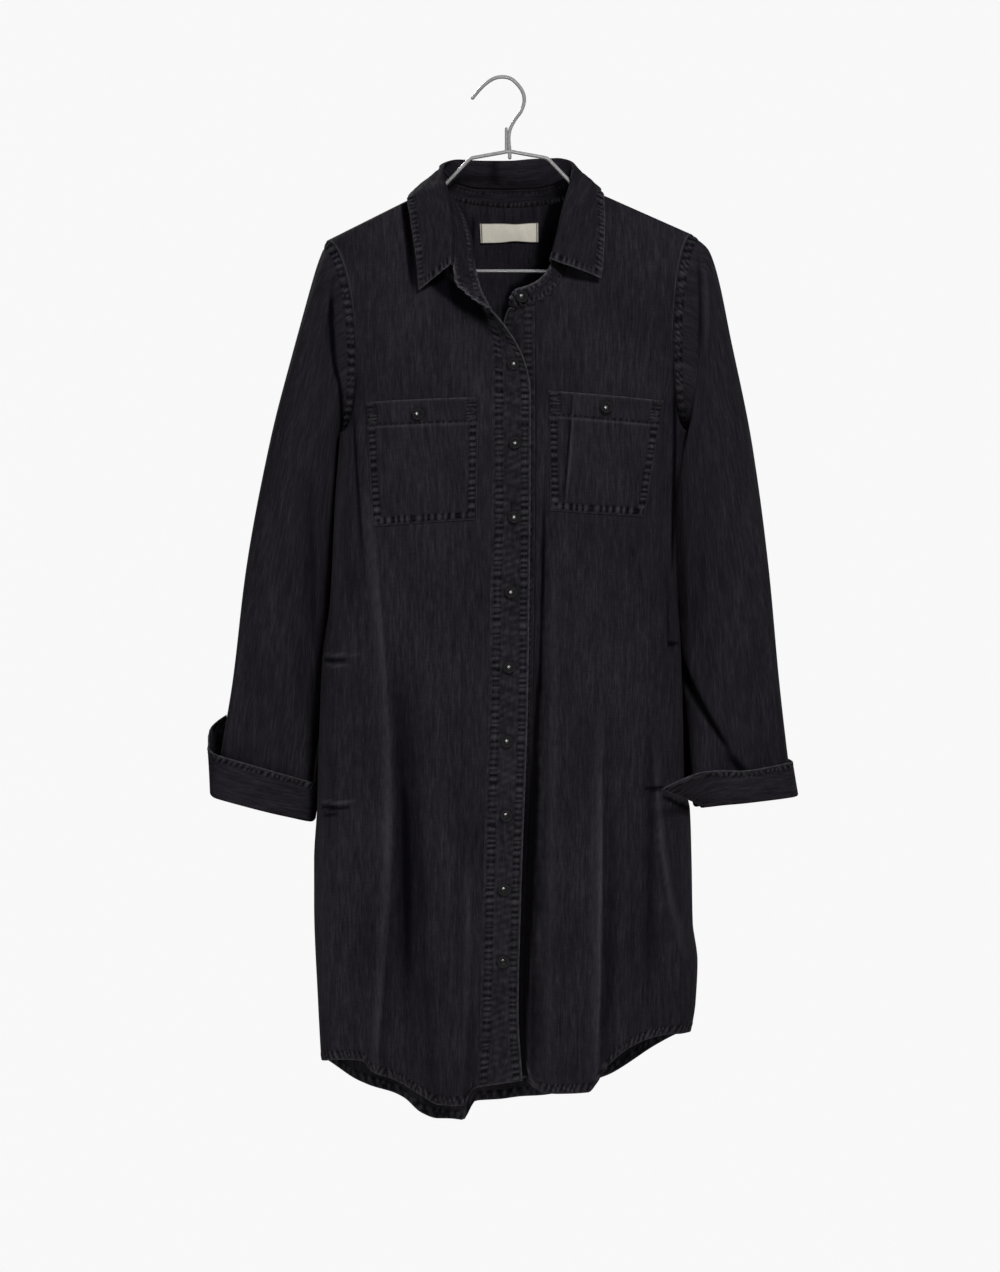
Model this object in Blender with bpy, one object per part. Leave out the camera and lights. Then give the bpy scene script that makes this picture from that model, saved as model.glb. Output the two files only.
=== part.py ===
"""Shirt dress in washed black denim, hanging on a plain wire hanger.

The frame: +Z is up, the front faces -Y, and +X is the wearer's left. The origin is the point under the
hanger's hook where it rests on a nail or rail. "Right" and "left" are the wearer's own. Sizes and the
tables below are in millimetres; meshes are in metres.
"""

import math

import bpy
import numpy as np

MM = 0.001

# ---- driving sizes -------------------------------------------------------------------------------
CLOTH = 1.4            # one layer of denim, with its turned seam allowance
BAND = 2.0             # two layers: plackets, stand, cuffs
FALL = 2.2             # the collar's fall
SEAM_GAP = 0.35        # between pieces that are sewn to each other
STAND_GAP = 1.5        # above the neckline, which the stand's wall crosses at an angle
LIFT = 0.35            # between a panel and what is sewn on it
POCKET_LIFT = 1.3       # the pockets bridge the folds under them
POCKET_CLOTH = 1.2
BUTTON_LIFT = 0.6
LABEL_LIFT = 1.05
LABEL_CLOTH = 0.6
WIRE_RADIUS = 1.9
BUTTON_RADIUS = 6.2    # 20 ligne
BUTTON_THICK = 3.0
BUTTON_DISH = 0.8      # depth of the dished middle
BUTTON_RIM = 1.5       # width of the raised rim

FRONT, BEHIND = -1, 1
NECK_POWER = 1.6        # the same at the neckline
UNDERARM = 0.27        # share of a panel's rows that lie above the underarm
NECK_END = 0.15        # share of a front's rows that lie along the neckline
PANEL_POWER = 3.2      # superellipse power of the body's section: how flat the middle is
SHOULDER_POWER = 1.25  # the same at the shoulder, where the panels are nearly ruled
SIDE_SHARE = 0.07       # share of a panel next to its side seam where folds die away
CHEST_SWELL = 4.0       # how far the chest stands out over its section
CHEST_RISE = 35.0       # how much higher the underarm row meets the placket than the side
SIDE_CROWDING = 1.35   # crowds a panel's columns towards the side seam, where it turns

FRONT_COLUMNS, PANEL_ROWS, BACK_COLUMNS = 19, 27, 30
SLEEVE_ROUND, SLEEVE_ROWS = 20, 17
CUFF_ROUND = 24
STRIP_COLUMNS = 4


def table(names, *rows):
    """Rows of numbers as one array for each named column."""
    return dict(zip(names.split(), (np.array(column, float) for column in zip(*rows))))


# ---- the cut, as it hangs --------------------------------------------------------------------------
SHOULDER = {"right": (-173.0, -166.0), "left": (202.9, -159.7)}    # x, z of the shoulder points
UNDERARM_POINT = {"right": (-158.6, -364.8), "left": (196.7, -362.6)}
ARMHOLE_BOW = {"right": 24.0, "left": 19.0}     # how far the armhole curves in from its chord, in front
ARMHOLE_BOW_BEHIND = 10.0
ARMHOLE_DEPTH = {FRONT: 37.0, BEHIND: 33.0}     # how far it stands out in front of and behind the hanger

SIDE = {
    "right": table(
        "z x",
        (-364.8, -158.6), (-432, -163.7), (-536, -169), (-598, -177), (-700, -181), (-748, -182.3),
        (-803, -185.4), (-845, -185.4), (-948, -181.3), (-1010, -178),
    ),
    "left": table(
        "z x",
        (-362.6, 196.7), (-400, 190), (-433, 184.3), (-536, 187.5), (-582, 190.5), (-639, 192.5),
        (-725, 194.5), (-750, 200), (-803, 201.8), (-865, 203), (-906, 208), (-948, 206), (-980, 201),
    ),
}
BACK_MIDDLE_Y = 46.0
FOLD_FADE = 60.0        # length over which a fold dies away above its top

NECK_SEAM = table(      # from the right front's end, round the back, to the left front's end
    "x y z",
    (-4, -73, -244), (-10, -70, -235), (-15, -66, -226), (-19, -60, -214), (-22, -54, -200),
    (-25, -40, -170), (-33, -24, -141), (-48, -10, -122), (-59, 0, -109), (-47, 20, -121),
    (-18, 34, -125), (16, 38, -127), (49, 34, -125), (75, 20, -121), (89.5, 0, -109.5), (89, -12, -131),
    (83, -26, -157), (76, -40, -185), (68, -50, -209), (59, -56, -222), (47, -58, -232),
    (33, -58, -237), (22, -58, -239), (14, -57, -237),
)
STAND_TOP = table(      # the stand's upper edge, station for station
    "x y z",
    (-7, -74.5, -242.5), (-20, -76, -235), (-32, -75, -225), (-40, -71, -216), (-42, -66, -199),
    (-41, -54, -170), (-46, -34, -133), (-52, -14, -106), (-57, 4, -90), (-42, 19, -103),
    (-16, 30, -108), (16, 34, -108), (46, 30, -107), (67, 19, -102), (82, 4, -93.5), (78, -14, -113),
    (70, -34, -143), (63, -50, -173), (57, -58, -195), (52, -61, -204), (42, -62, -214),
    (31, -62, -219), (21, -61, -222), (15, -58.5, -230),
)
NECK_SIDE = {"right": 8, "left": 14}            # the stations at the shoulder seams
SEAM_STATION = {"right": 3, "left": 20.55}      # where the plackets' seams meet the neckline
FALL_STATIONS = range(4, 19)                    # the stations that carry the fall

FALL_ROLL = table(      # the fold of the collar's fall, on the stations that carry it
    "x y z",
    (-45, -72, -199), (-46, -62, -169), (-50, -43, -131), (-55, -18, -101), (-56, 5, -83),
    (-37, 23, -80), (-12, 35, -79.5), (16, 39, -79), (42, 35, -77.5), (64, 25, -78), (81, 6, -86),
    (80, -17, -106), (72, -44, -140), (65, -58, -171), (58, -65, -193),
)
FALL_EDGE = table(      # its outer edge, from the right point round to the left point
    "x y z",
    (-77, -57, -223), (-80.5, -48, -187), (-86, -33, -151), (-90, -11, -124), (-88, 9, -119),
    (-66, 37, -124), (-28, 48, -121), (16, 52, -120), (57, 48, -119), (92, 36, -118),
    (106.5, 10, -111), (111, -10, -118.5), (112.5, -32, -145), (110.5, -50, -188), (107.5, -57, -211),
)

OVERLAP = table(        # the right front's button band: seam side and folded edge
    "seam_x seam_y seam_z edge_x edge_y edge_z",
    (-19, -60, -214, -4, -73.5, -244.5), (-16, -58, -230, 4, -73, -253), (-10, -57, -245, 14, -69, -265),
    (-5, -56, -261, 22, -65, -277), (-3, -56, -278, 29, -61, -291), (-2, -56, -300, 34, -58.5, -308),
    (-2, -56.5, -326, 36.5, -57, -328), (-2, -57, -435, 36, -57, -435), (-4, -57, -536, 35, -57, -536),
    (-6, -58, -660, 33, -58, -660), (-9, -58, -743, 30, -58, -743), (-11, -57, -826, 27, -57, -826),
    (-14, -55, -949, 24, -55, -949), (-18, -53, -1030, 28, -53, -1023),
)
UNDERLAP = table(       # the left front's button band, behind it
    "seam_x seam_y seam_z edge_x edge_y edge_z",
    (41, -58, -235.5, 14, -57, -240.5), (41, -56, -249, 10, -55, -249), (41, -54.5, -268, 7, -53.3, -268),
    (41, -51.5, -298, 5, -52, -298), (41, -51, -326, 3, -51.5, -326), (41, -50, -435, 2, -51.5, -435),
    (40, -48, -536, 1, -51.5, -536), (38, -46, -660, -1, -52, -660), (35, -44.5, -743, -4, -52, -743),
    (32, -42.5, -826, -7, -51, -826), (29, -39.5, -949, -9, -49, -949), (33, -38.5, -1022, -9, -47, -1026),
)

HEM = {                 # height of the shirt-tail hem across each piece
    "front_right": table(
        "x z",
        (-180, -1007), (-158, -1003), (-134, -1002), (-126, -1011), (-94, -1026), (-78, -1037),
        (-56, -1046), (-32, -1046), (-21, -1031), (-10, -1030),
    ),
    "front_left": table(
        "x z",
        (30, -1022), (38, -1031), (50, -1035.5), (74, -1037), (95, -1035), (103, -1026), (112, -1013),
        (142, -990), (175, -979), (202, -978),
    ),
    "back": table(
        "x z",
        (-180, -1007), (-145, -1034), (-95, -1056), (-78, -1070), (-59, -1078), (-34, -1079),
        (-20, -1058), (16, -1056), (75, -1048), (120, -1030), (165, -1000), (202, -978),
    ),
}

# Folds: a crest line x(z), its width on each side, and how far it stands out at its top, middle and foot.
FOLD_COLUMNS = "z_top z_mid z_low x_top x_mid x_low width_right width_left out_top out_mid out_low"
FOLDS = {
    "front_right": table(
        FOLD_COLUMNS,
        (-400, -660, -1010, -134, -108, -120, 36, 14, 0, 8, 14),        # side fold, dropping inwards
        (-560, -800, -1046, -58, -48, -38, 40, 22, 0, 8, 19),           # lobe beside the placket
        (-600, -780, -1040, -96, -86, -76, 20, 18, 0, -5, -7),          # valley between them
        (-240, -300, -420, -70, -84, -104, 20, 24, 0, 2.5, 0),          # drag from the collar point
    ),
    "front_left": table(
        FOLD_COLUMNS,
        (-420, -700, -1036, 64, 60, 54, 20, 40, 1, 8, 16),              # lobe beside the placket
        (-600, -800, -1036, 112, 108, 102, 36, 15, 0, 6, 14),           # sharp fold over the hem step
        (-640, -800, -1000, 150, 150, 148, 20, 18, 0, -4, -6),          # valley at the side
        (-740, -850, -990, 170, 180, 190, 12, 12, 0, 3, 4),             # ridge at the side
        (-340, -430, -560, 168, 166, 172, 12, 10, 0, 3, 0),             # fold below the armhole
    ),
    "back": table(
        FOLD_COLUMNS,
        (-330, -640, -1080, -118, -108, -104, 26, 30, 1, 5, 10),
        (-420, -760, -1080, -52, -48, -48, 34, 24, 0, 6, 12),
        (-300, -700, -1056, 34, 30, 26, 24, 30, 1, 5, 9),
        (-380, -720, -1040, 112, 104, 100, 26, 22, 1, 6, 12),
        (-200, -330, -560, -90, -104, -126, 22, 22, 0, 4, 0),
        (-200, -340, -560, 120, 134, 150, 22, 22, 0, 4, 0),
    ),
}

SLEEVE_COLUMNS = "along out_x out_z in_x in_z in_y front back bow"
SLEEVE = {              # rings from the armhole to the wrist: outer and inner line, depths, inward bow
    "right": table(
        SLEEVE_COLUMNS,
        (0.00, -173, -166, -159.2, -365, 0, 37, 33, 1.00), (0.05, -183, -192, -162.5, -374, 6, 40, 36, 0.30),
        (0.18, -203, -266, -162.0, -418, 20, 44, 40, 0.10), (0.37, -230, -371, -165.5, -490, 22, 42, 38, 0),
        (0.61, -255.5, -506, -172.5, -578, 22, 36, 34, 0), (0.81, -269, -618, -179, -650, 22, 31, 30, 0),
        (0.93, -280, -685, -187, -712, 16, 28, 28, 0), (1.00, -286, -724, -190.5, -750, 12, 26, 27, 0),
    ),
    "left": table(
        SLEEVE_COLUMNS,
        (0.00, 202.9, -159.7, 198, -363, 0, 37, 33, 1.00), (0.05, 221, -178, 202.6, -373, 6, 40, 36, 0.20),
        (0.20, 243, -274, 187, -415, 20, 44, 40, 0.10), (0.39, 264, -379, 182, -488, 22, 42, 38, 0),
        (0.62, 281, -506, 188, -570, 20, 36, 34, 0), (0.82, 291.5, -618, 194.5, -645, 8, 31, 30, 0),
        (0.94, 299, -684, 201, -704, -4, 28, 28, 0), (1.00, 304, -722, 206, -735, -10, 26, 27, 0),
    ),
}

FALL_FOLD = 0.4         # share of the fall's path from its seam to its fold
FALL_SAG = np.array([0.0, -4.0, -3.0])   # how far the fall's lower part bows before its edge
CUFF_DROP = 13.0        # from the cuff's seam down to the fold where it turns back
CUFF_TURN = 3.0         # radius of that fold
CUFF = {                # round the wrist: 0 is the outer side, 90 the front, 180 the side next to the body
    "right": table(
        "angle leg tilt lift",
        (-38, 46, 36, 44), (-20, 45, 26, 26), (0, 44, 13, 4), (30, 43, 8, -2), (90, 41, 5, -2),
        (140, 37, 4, 0), (180, 35, 3, 0), (230, 38, 6, 0), (280, 40, 8, 4), (314, 40, 12, 12),
    ),
    "left": table(
        "angle leg tilt lift",
        (-166, 38, 5, 0), (-90, 38, 7, 0), (-30, 38, 3, 0), (0, 38, -2, 0), (45, 39, 3, 0), (90, 38, 6, 0),
        (125, 40, 20, 0), (145, 43, 42, 0), (157, 46, 58, 0),
    ),
}

POCKET = {              # corners, x and z: upper side seam, upper front, lower front, lower side seam
    "right": ((-131, -336), (-16.5, -331), (-18.5, -455), (-124, -462)),
    "left": ((54, -324), (171, -334), (152, -452), (56, -446)),
}
LABEL = ((-16, -143), (45, -142), (45, -162), (-15, -163))

PLACKET_BUTTONS = table(
    "x z",
    (19, -297), (20.5, -377), (19.5, -452), (16.5, -528), (14.5, -604), (12.5, -679), (11.5, -754),
    (9.5, -829), (8.5, -902),
)
STAND_BUTTON_STATION = 21.4
POCKET_BUTTON = {"right": (-78, -348), "left": (113, -341)}

HOOK = table(           # centre line of the hanger's hook, from its tip down to the arms
    "x z",
    (-23, -20), (-15.5, -10), (-8, -2.6), (0, 1.9), (9, 3.1), (18, 0.3), (27, -9.5), (30.2, -20),
    (27.5, -31), (20.5, -41), (15.6, -51), (14.2, -61), (15, -71), (15.2, -80),
)
HANGER_LOOP = table(    # arms and bar, clockwise from the apex
    "x z bend",
    (15.2, -76.5, 10), (54, -80.5, 9), (84.5, -112.3, 8), (194, -165, 7), (190, -197, 7),
    (-158, -197, 7), (-166, -168.5, 7), (-57, -113.8, 8), (-25, -80.5, 9),
)
HANGER_TURN_STEPS = 4


# ---- curves and surfaces ---------------------------------------------------------------------------
def smooth(xs, ys, at):
    """A curve through the points (xs rising or falling) that never overshoots them, read at `at`."""
    xs, ys = np.asarray(xs, float), np.asarray(ys, float)
    if xs[0] > xs[-1]:
        xs, ys = xs[::-1], ys[::-1]
    at = np.clip(np.asarray(at, float), xs[0], xs[-1])
    step, rise = np.diff(xs), np.diff(ys)
    slope = rise / step
    same = slope[:-1] * slope[1:] > 0
    inner = np.where(same, 2 * slope[:-1] * slope[1:] / np.where(same, slope[:-1] + slope[1:], 1), 0)
    tangent = np.concatenate([slope[:1], inner, slope[-1:]])
    i = np.clip(np.searchsorted(xs, at, side="right") - 1, 0, len(step) - 1)
    t = (at - xs[i]) / step[i]
    return (
        (2 * t**3 - 3 * t**2 + 1) * ys[i] + (t**3 - 2 * t**2 + t) * step[i] * tangent[i]
        + (3 * t**2 - 2 * t**3) * ys[i + 1] + (t**3 - t**2) * step[i] * tangent[i + 1]
    )


def station(tab, at):
    """The point of a table of x, y, z at a fractional row."""
    rows = np.arange(len(tab["x"]))
    return np.stack([smooth(rows, tab[axis], at) for axis in "xyz"], axis=-1)


def mix(a, b, share):
    return a + (b - a) * share


def oval(share, power):
    """0 at a side seam, 1 in the middle, with an upright start: a superellipse's quarter."""
    return (1 - (1 - np.clip(share, 0, 1)) ** power) ** (1 / power)


def armhole(side, share, face):
    """The armhole seam from the shoulder point (0) to the underarm (1), in front or behind."""
    top, low = SHOULDER[side], UNDERARM_POINT[side]
    inward = 1 if side == "right" else -1
    bow = ARMHOLE_BOW[side] if face == FRONT else ARMHOLE_BOW_BEHIND
    angle = math.pi * np.clip(share, 0, 1)
    down, out = (1 - np.cos(angle)) / 2, np.sin(angle)
    x = mix(top[0], low[0], down) + inward * bow * out
    return np.stack([x, face * ARMHOLE_DEPTH[face] * out, mix(top[1], low[1], down)], axis=-1)


def bump(distance, width_right, width_left):
    """A soft crest: 1 on the line, 0 at its width to either side."""
    share = np.where(distance < 0, -distance / width_right, distance / width_left)
    return np.where(share < 1, 0.5 + 0.5 * np.cos(np.pi * np.clip(share, 0, 1)), 0)


def folds(piece, x, z):
    """How far the piece's folds stand out at each x, z. The crest's right width is towards -X."""
    tab = FOLDS[piece]
    out = np.zeros_like(x)
    for i in range(len(tab["z_top"])):
        levels = [-tab[k][i] for k in ("z_top", "z_mid", "z_low")]
        crest = smooth(levels, [tab[k][i] for k in ("x_top", "x_mid", "x_low")], -z)
        height = smooth(levels, [tab[k][i] for k in ("out_top", "out_mid", "out_low")], -z)
        fade = np.clip((FOLD_FADE - levels[0] - z) / FOLD_FADE, 0, 1)
        out += height * fade * bump(x - crest, tab["width_right"][i], tab["width_left"][i])
    return out


def seam_line(side):
    """The placket's seam as x, y over z, for the front's inner edge."""
    tab = OVERLAP if side == "right" else UNDERLAP
    return tab["seam_z"], tab["seam_x"], tab["seam_y"]


def front_point(side, across, down):
    """A point of a front's face: across 0 is the armhole and side seam, 1 the neckline and placket seam."""
    across, down = np.broadcast_arrays(np.asarray(across, float), np.asarray(down, float))
    piece = "front_" + side
    seam_z, seam_x, seam_y = seam_line(side)
    neck_end = station(NECK_SEAM, SEAM_STATION[side])
    above = np.clip(down / UNDERARM, 0, 1)
    below = np.clip((down - UNDERARM) / (1 - UNDERARM), 0, 1)
    outer = armhole(side, above, FRONT)
    underarm_z = UNDERARM_POINT[side][1]
    neck = station(NECK_SEAM, mix(NECK_SIDE[side], SEAM_STATION[side], np.clip(down / NECK_END, 0, 1)))
    chest = smooth([NECK_END, UNDERARM], [neck_end[2], underarm_z + CHEST_RISE], down)
    inner_x = np.where(down < NECK_END, neck[..., 0], smooth(seam_z, seam_x, chest))
    inner_y = np.where(down < NECK_END, neck[..., 1], smooth(seam_z, seam_y, chest))
    inner_z = np.where(down < NECK_END, neck[..., 2], chest)
    z = mix(outer[..., 2], inner_z, across)
    x = mix(outer[..., 0], inner_x, across)
    # Below the underarm the rows level out and then follow the hem.
    hem_x = mix(SIDE[side]["x"][-1], seam_x[-1], across)
    hem_z = smooth(HEM[piece]["x"], HEM[piece]["z"], hem_x)
    z = mix(z, hem_z, below)
    side_x = smooth(SIDE[side]["z"], SIDE[side]["x"], z)
    low_x = mix(side_x, smooth(seam_z, seam_x, z), across)
    x = np.where(below > 0, low_x, x)
    inner_y = np.where(below > 0, smooth(seam_z, seam_y, z), inner_y)
    power = smooth([0, NECK_END, UNDERARM, 1.01], [SHOULDER_POWER, NECK_POWER, PANEL_POWER, PANEL_POWER], down)
    y = mix(outer[..., 1], inner_y, oval(across, power))
    chest_swell = CHEST_SWELL * np.sin(np.pi * across) * np.clip(down / UNDERARM, 0, 1) * (1 - 0.5 * below)
    y = y - chest_swell - folds(piece, x, z) * np.clip(across / SIDE_SHARE, 0, 1)
    return np.stack([x, y, z], axis=-1)


def back_point(across, down):
    """A point of the back's face: across 0 is the right side seam, 1 the left."""
    across, down = np.broadcast_arrays(np.asarray(across, float), np.asarray(down, float))
    above = np.clip(down / UNDERARM, 0, 1)
    below = np.clip((down - UNDERARM) / (1 - UNDERARM), 0, 1)
    right, left = armhole("right", above, BEHIND), armhole("left", above, BEHIND)
    top_x = mix(SHOULDER["right"][0], SHOULDER["left"][0], across)
    neck = station(NECK_SEAM, np.linspace(NECK_SIDE["right"], NECK_SIDE["left"], 61))
    corners_x = [SHOULDER["right"][0], *neck[:, 0], SHOULDER["left"][0]]
    top_y = np.interp(top_x, corners_x, [0, *neck[:, 1], 0])
    top_z = np.interp(top_x, corners_x, [SHOULDER["right"][1], *neck[:, 2], SHOULDER["left"][1]])
    underarm_z = mix(UNDERARM_POINT["right"][1], UNDERARM_POINT["left"][1], across)
    z = mix(top_z, underarm_z, (1 - np.cos(math.pi * above)) / 2)
    x = mix(right[..., 0], left[..., 0], across)
    hem_x = mix(SIDE["right"]["x"][-1], SIDE["left"]["x"][-1], across)
    z = mix(z, smooth(HEM["back"]["x"], HEM["back"]["z"], hem_x), below)
    side_right, side_left = (smooth(SIDE[side]["z"], SIDE[side]["x"], z) for side in ("right", "left"))
    low_x = mix(side_right, side_left, across)
    x = np.where(below > 0, low_x, x)
    edge_y = mix(right[..., 1], left[..., 1], across)
    settled = np.sin(math.pi * np.clip(above, 0, 0.5))
    middle_y = BACK_MIDDLE_Y * settled
    power = smooth([0, 0.6 * UNDERARM, 1.01], [NECK_POWER, PANEL_POWER, PANEL_POWER], down)
    round_share = oval(1 - np.abs(2 * across - 1), power)
    y = top_y * (1 - settled) + mix(edge_y, np.maximum(middle_y, edge_y), round_share)
    near_side = np.clip((0.5 - np.abs(across - 0.5)) / SIDE_SHARE, 0, 1)
    return np.stack([x, y + folds("back", x, z) * near_side, z], axis=-1)


def sleeve_point(side, angle, along):
    """A point of a sleeve's face: angle 0 is the outer line, 90 degrees the front, 180 the inner line."""
    angle, along = np.broadcast_arrays(np.asarray(angle, float), np.asarray(along, float))
    tab = SLEEVE[side]
    read = {k: smooth(tab["along"], tab[k], along) for k in SLEEVE_COLUMNS.split()[1:]}
    toward_inner, out = (1 - np.cos(angle)) / 2, np.sin(angle)
    inward = 1 if side == "right" else -1
    in_front = out >= 0
    bow = np.where(in_front, ARMHOLE_BOW[side], ARMHOLE_BOW_BEHIND) * read["bow"] * np.abs(out)
    x = mix(read["out_x"], read["in_x"], toward_inner) + inward * bow
    z = mix(read["out_z"], read["in_z"], toward_inner)
    y = read["in_y"] * toward_inner - np.where(in_front, read["front"], read["back"]) * out
    return np.stack([x, y, z], axis=-1)


def unit(v):
    return v / np.maximum(np.linalg.norm(v, axis=-1, keepdims=True), 1e-9)


def wrist_frame(side, angle):
    """Outward and downward directions of the sleeve's cloth at the wrist."""
    step = 0.01
    here = sleeve_point(side, angle, 1)
    round_wrist = sleeve_point(side, angle + step, 1) - sleeve_point(side, angle - step, 1)
    down = unit(here - sleeve_point(side, angle, 0.95))
    out = unit(np.cross(round_wrist, down)) * (-1 if side == "right" else 1)
    return out, down


def cuff_point(side, angle, path):
    """A point of a turned-back cuff's face: path 0 is its seam inside, 1 its free edge outside."""
    angle, path = np.broadcast_arrays(np.asarray(angle, float), np.asarray(path, float))
    tab = CUFF[side]
    leg, tilt, lift = (smooth(np.radians(tab["angle"]), tab[k], angle) for k in ("leg", "tilt", "lift"))
    tilt = np.radians(tilt)
    turn, drop = CUFF_TURN, CUFF_DROP
    inner = np.clip(path / 0.2, 0, 1)
    bend = np.clip((path - 0.2) / 0.3, 0, 1) * math.pi
    outer = np.clip((path - 0.5) / 0.5, 0, 1) * leg
    offset = -BAND / 2 + turn * (1 - np.cos(bend)) + outer * np.sin(tilt)
    down = SEAM_GAP + (drop - turn - SEAM_GAP) * inner + turn * np.sin(bend) - outer * np.cos(tilt)
    down = down - lift * np.clip((path - 0.2) / 0.5, 0, 1)
    outward, downward = wrist_frame(side, angle)
    return sleeve_point(side, angle, 1) + outward * offset[..., None] + downward * down[..., None]


# ---- solids ----------------------------------------------------------------------------------------
def material(name, colour, roughness, metallic=0.0):
    made = bpy.data.materials.new(name)
    made.use_nodes = True
    shader = made.node_tree.nodes["Principled BSDF"]
    shader.inputs["Base Color"].default_value = (*colour, 1)
    shader.inputs["Roughness"].default_value = roughness
    shader.inputs["Metallic"].default_value = metallic
    made.diffuse_color = (*colour, 1)
    return made


def add_object(name, points, faces, look, parent):
    mesh = bpy.data.meshes.new(name)
    mesh.from_pydata((np.asarray(points).reshape(-1, 3) * MM).tolist(), [], faces)
    mesh.materials.append(look)
    mesh.update()
    mesh.shade_smooth()
    mesh.set_sharp_from_angle(angle=math.radians(50))
    made = bpy.data.objects.new(name, mesh)
    made.parent = parent
    bpy.context.scene.collection.objects.link(made)
    return made


def grid_normals(points, round_columns=False):
    """The direction across a grid's face, from its rows and columns."""
    if round_columns:
        around = np.roll(points, -1, axis=1) - np.roll(points, 1, axis=1)
    else:
        around = np.gradient(points, axis=1)
    return unit(np.cross(around, np.gradient(points, axis=0)))


def quad(a, b, c, d, flip):
    return (d, c, b, a) if flip else (a, b, c, d)


def wall(name, face, normals, thickness, look, parent, round_columns=False):
    """A cloth wall: the face's points, and the same points moved in by its thickness, closed at its edges."""
    rows, columns = face.shape[:2]
    i, j = min(rows * 2 // 3, rows - 2), columns // 2
    winding = np.cross(face[i, j + 1] - face[i, j], face[i + 1, j] - face[i, j])
    flip = np.dot(winding, normals[i, j]) < 0
    points = np.concatenate([face.reshape(-1, 3), (face - normals * thickness).reshape(-1, 3)])
    inside = rows * columns
    last = columns if round_columns else columns - 1
    faces = []
    for i in range(rows - 1):
        for j in range(last):
            k = (j + 1) % columns
            a, b, c, d = i * columns + j, i * columns + k, (i + 1) * columns + k, (i + 1) * columns + j
            faces.append(quad(a, b, c, d, flip))
            faces.append(quad(a + inside, b + inside, c + inside, d + inside, not flip))
    for j in range(last):
        k = (j + 1) % columns
        faces.append(quad(j, j + inside, k + inside, k, flip))
        a, b = (rows - 1) * columns + j, (rows - 1) * columns + k
        faces.append(quad(a, b, b + inside, a + inside, flip))
    if not round_columns:
        for i in range(rows - 1):
            a, b = i * columns, (i + 1) * columns
            faces.append(quad(a, b, b + inside, a + inside, flip))
            a, b = a + columns - 1, b + columns - 1
            faces.append(quad(a, a + inside, b + inside, b, flip))
    return add_object(name, points, faces, look, parent)


def facing(normals, probe, outward):
    """The normals, turned so that the one at the probe looks outward."""
    return normals if np.dot(normals[probe], outward) > 0 else -normals


def square_to(edge, away_from):
    """Directions in the YZ plane, square to an edge's points and away from a centre."""
    tangent = np.gradient(edge, axis=0)
    out = unit(np.stack([np.zeros(len(edge)), tangent[:, 2], -tangent[:, 1]], axis=-1))
    return out * np.where(np.sum(out * (edge - away_from), axis=1) < 0, -1, 1)[:, None]


def crowded(count):
    return (np.arange(count) / (count - 1)) ** SIDE_CROWDING


def panel_rows():
    """Row positions down a panel, with one row on the underarm."""
    upper = round(PANEL_ROWS * 0.36)
    return np.concatenate([
        np.linspace(0, UNDERARM, upper + 1), np.linspace(UNDERARM, 1, PANEL_ROWS - upper)[1:]
    ])


def set_side_normals(normals, points, column, side):
    """Down a panel's outer edge the wall is square to the armhole, then to the side seam."""
    above = int(np.sum(panel_rows() < UNDERARM - 1e-6))
    centre = np.array([0, 0, (SHOULDER[side][1] + UNDERARM_POINT[side][1]) / 2])
    normals[:above, column] = square_to(points[: above + 1, column], centre)[:above]
    normals[above:, column] = (-1 if side == "right" else 1, 0, 0)
    normals[0, column] = (0, 0, 1)


def draw_back(face):
    """Draws a panel's side edges back along the cloth, to leave its seams their gap."""
    above = panel_rows() < UNDERARM + 1e-6
    for edge, next_in in ((0, 1), (-1, -2)):
        step = unit(face[:, next_in] - face[:, edge]) * 2 * SEAM_GAP
        rows = above if abs(face[-1, edge, 1]) < 1 else slice(None)
        face[rows, edge] += step[rows]


def build_front(side, look, parent):
    across, down = np.meshgrid(crowded(FRONT_COLUMNS), panel_rows())
    face = front_point(side, across, down)
    normals = facing(grid_normals(face), (PANEL_ROWS // 2, FRONT_COLUMNS // 2), (0, -1, 0))
    normals[0] = unit(normals[0] * (1, 0, 1))
    set_side_normals(normals, face, 0, side)
    draw_back(face)
    face[:, :, 1] -= SEAM_GAP
    return wall("front_" + side, face, normals, CLOTH, look, parent)


def build_back(look, parent):
    w = np.linspace(-1, 1, BACK_COLUMNS)
    across = 0.5 + 0.5 * np.sign(w) * (1 - (1 - np.abs(w)) ** SIDE_CROWDING)
    across, down = np.meshgrid(across, panel_rows())
    face = back_point(across, down)
    normals = facing(grid_normals(face), (PANEL_ROWS // 2, BACK_COLUMNS // 2), (0, 1, 0))
    normals[0] = unit(normals[0] * (1, 0, 1))
    set_side_normals(normals, face, 0, "right")
    set_side_normals(normals, face, -1, "left")
    draw_back(face)
    face[:, :, 1] += SEAM_GAP
    return wall("back", face, normals, CLOTH, look, parent)


def build_sleeve(side, look, parent):
    angle = np.linspace(0, 2 * math.pi, SLEEVE_ROUND, endpoint=False)
    along = np.linspace(0, 1, SLEEVE_ROWS) ** 1.15
    angle, along = np.meshgrid(angle, along)
    face = sleeve_point(side, angle, along)
    outward = (-1, 0, 0) if side == "right" else (1, 0, 0)
    normals = facing(grid_normals(face, True), (SLEEVE_ROWS // 2, 0), outward)
    ring = face[0]
    closed = np.concatenate([ring[-1:], ring, ring[:1]])
    normals[0] = square_to(closed, ring.mean(axis=0))[1:-1]
    face[0, :, 0] += SEAM_GAP * outward[0]
    return wall("sleeve_" + side, face, normals, CLOTH, look, parent, round_columns=True)


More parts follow.
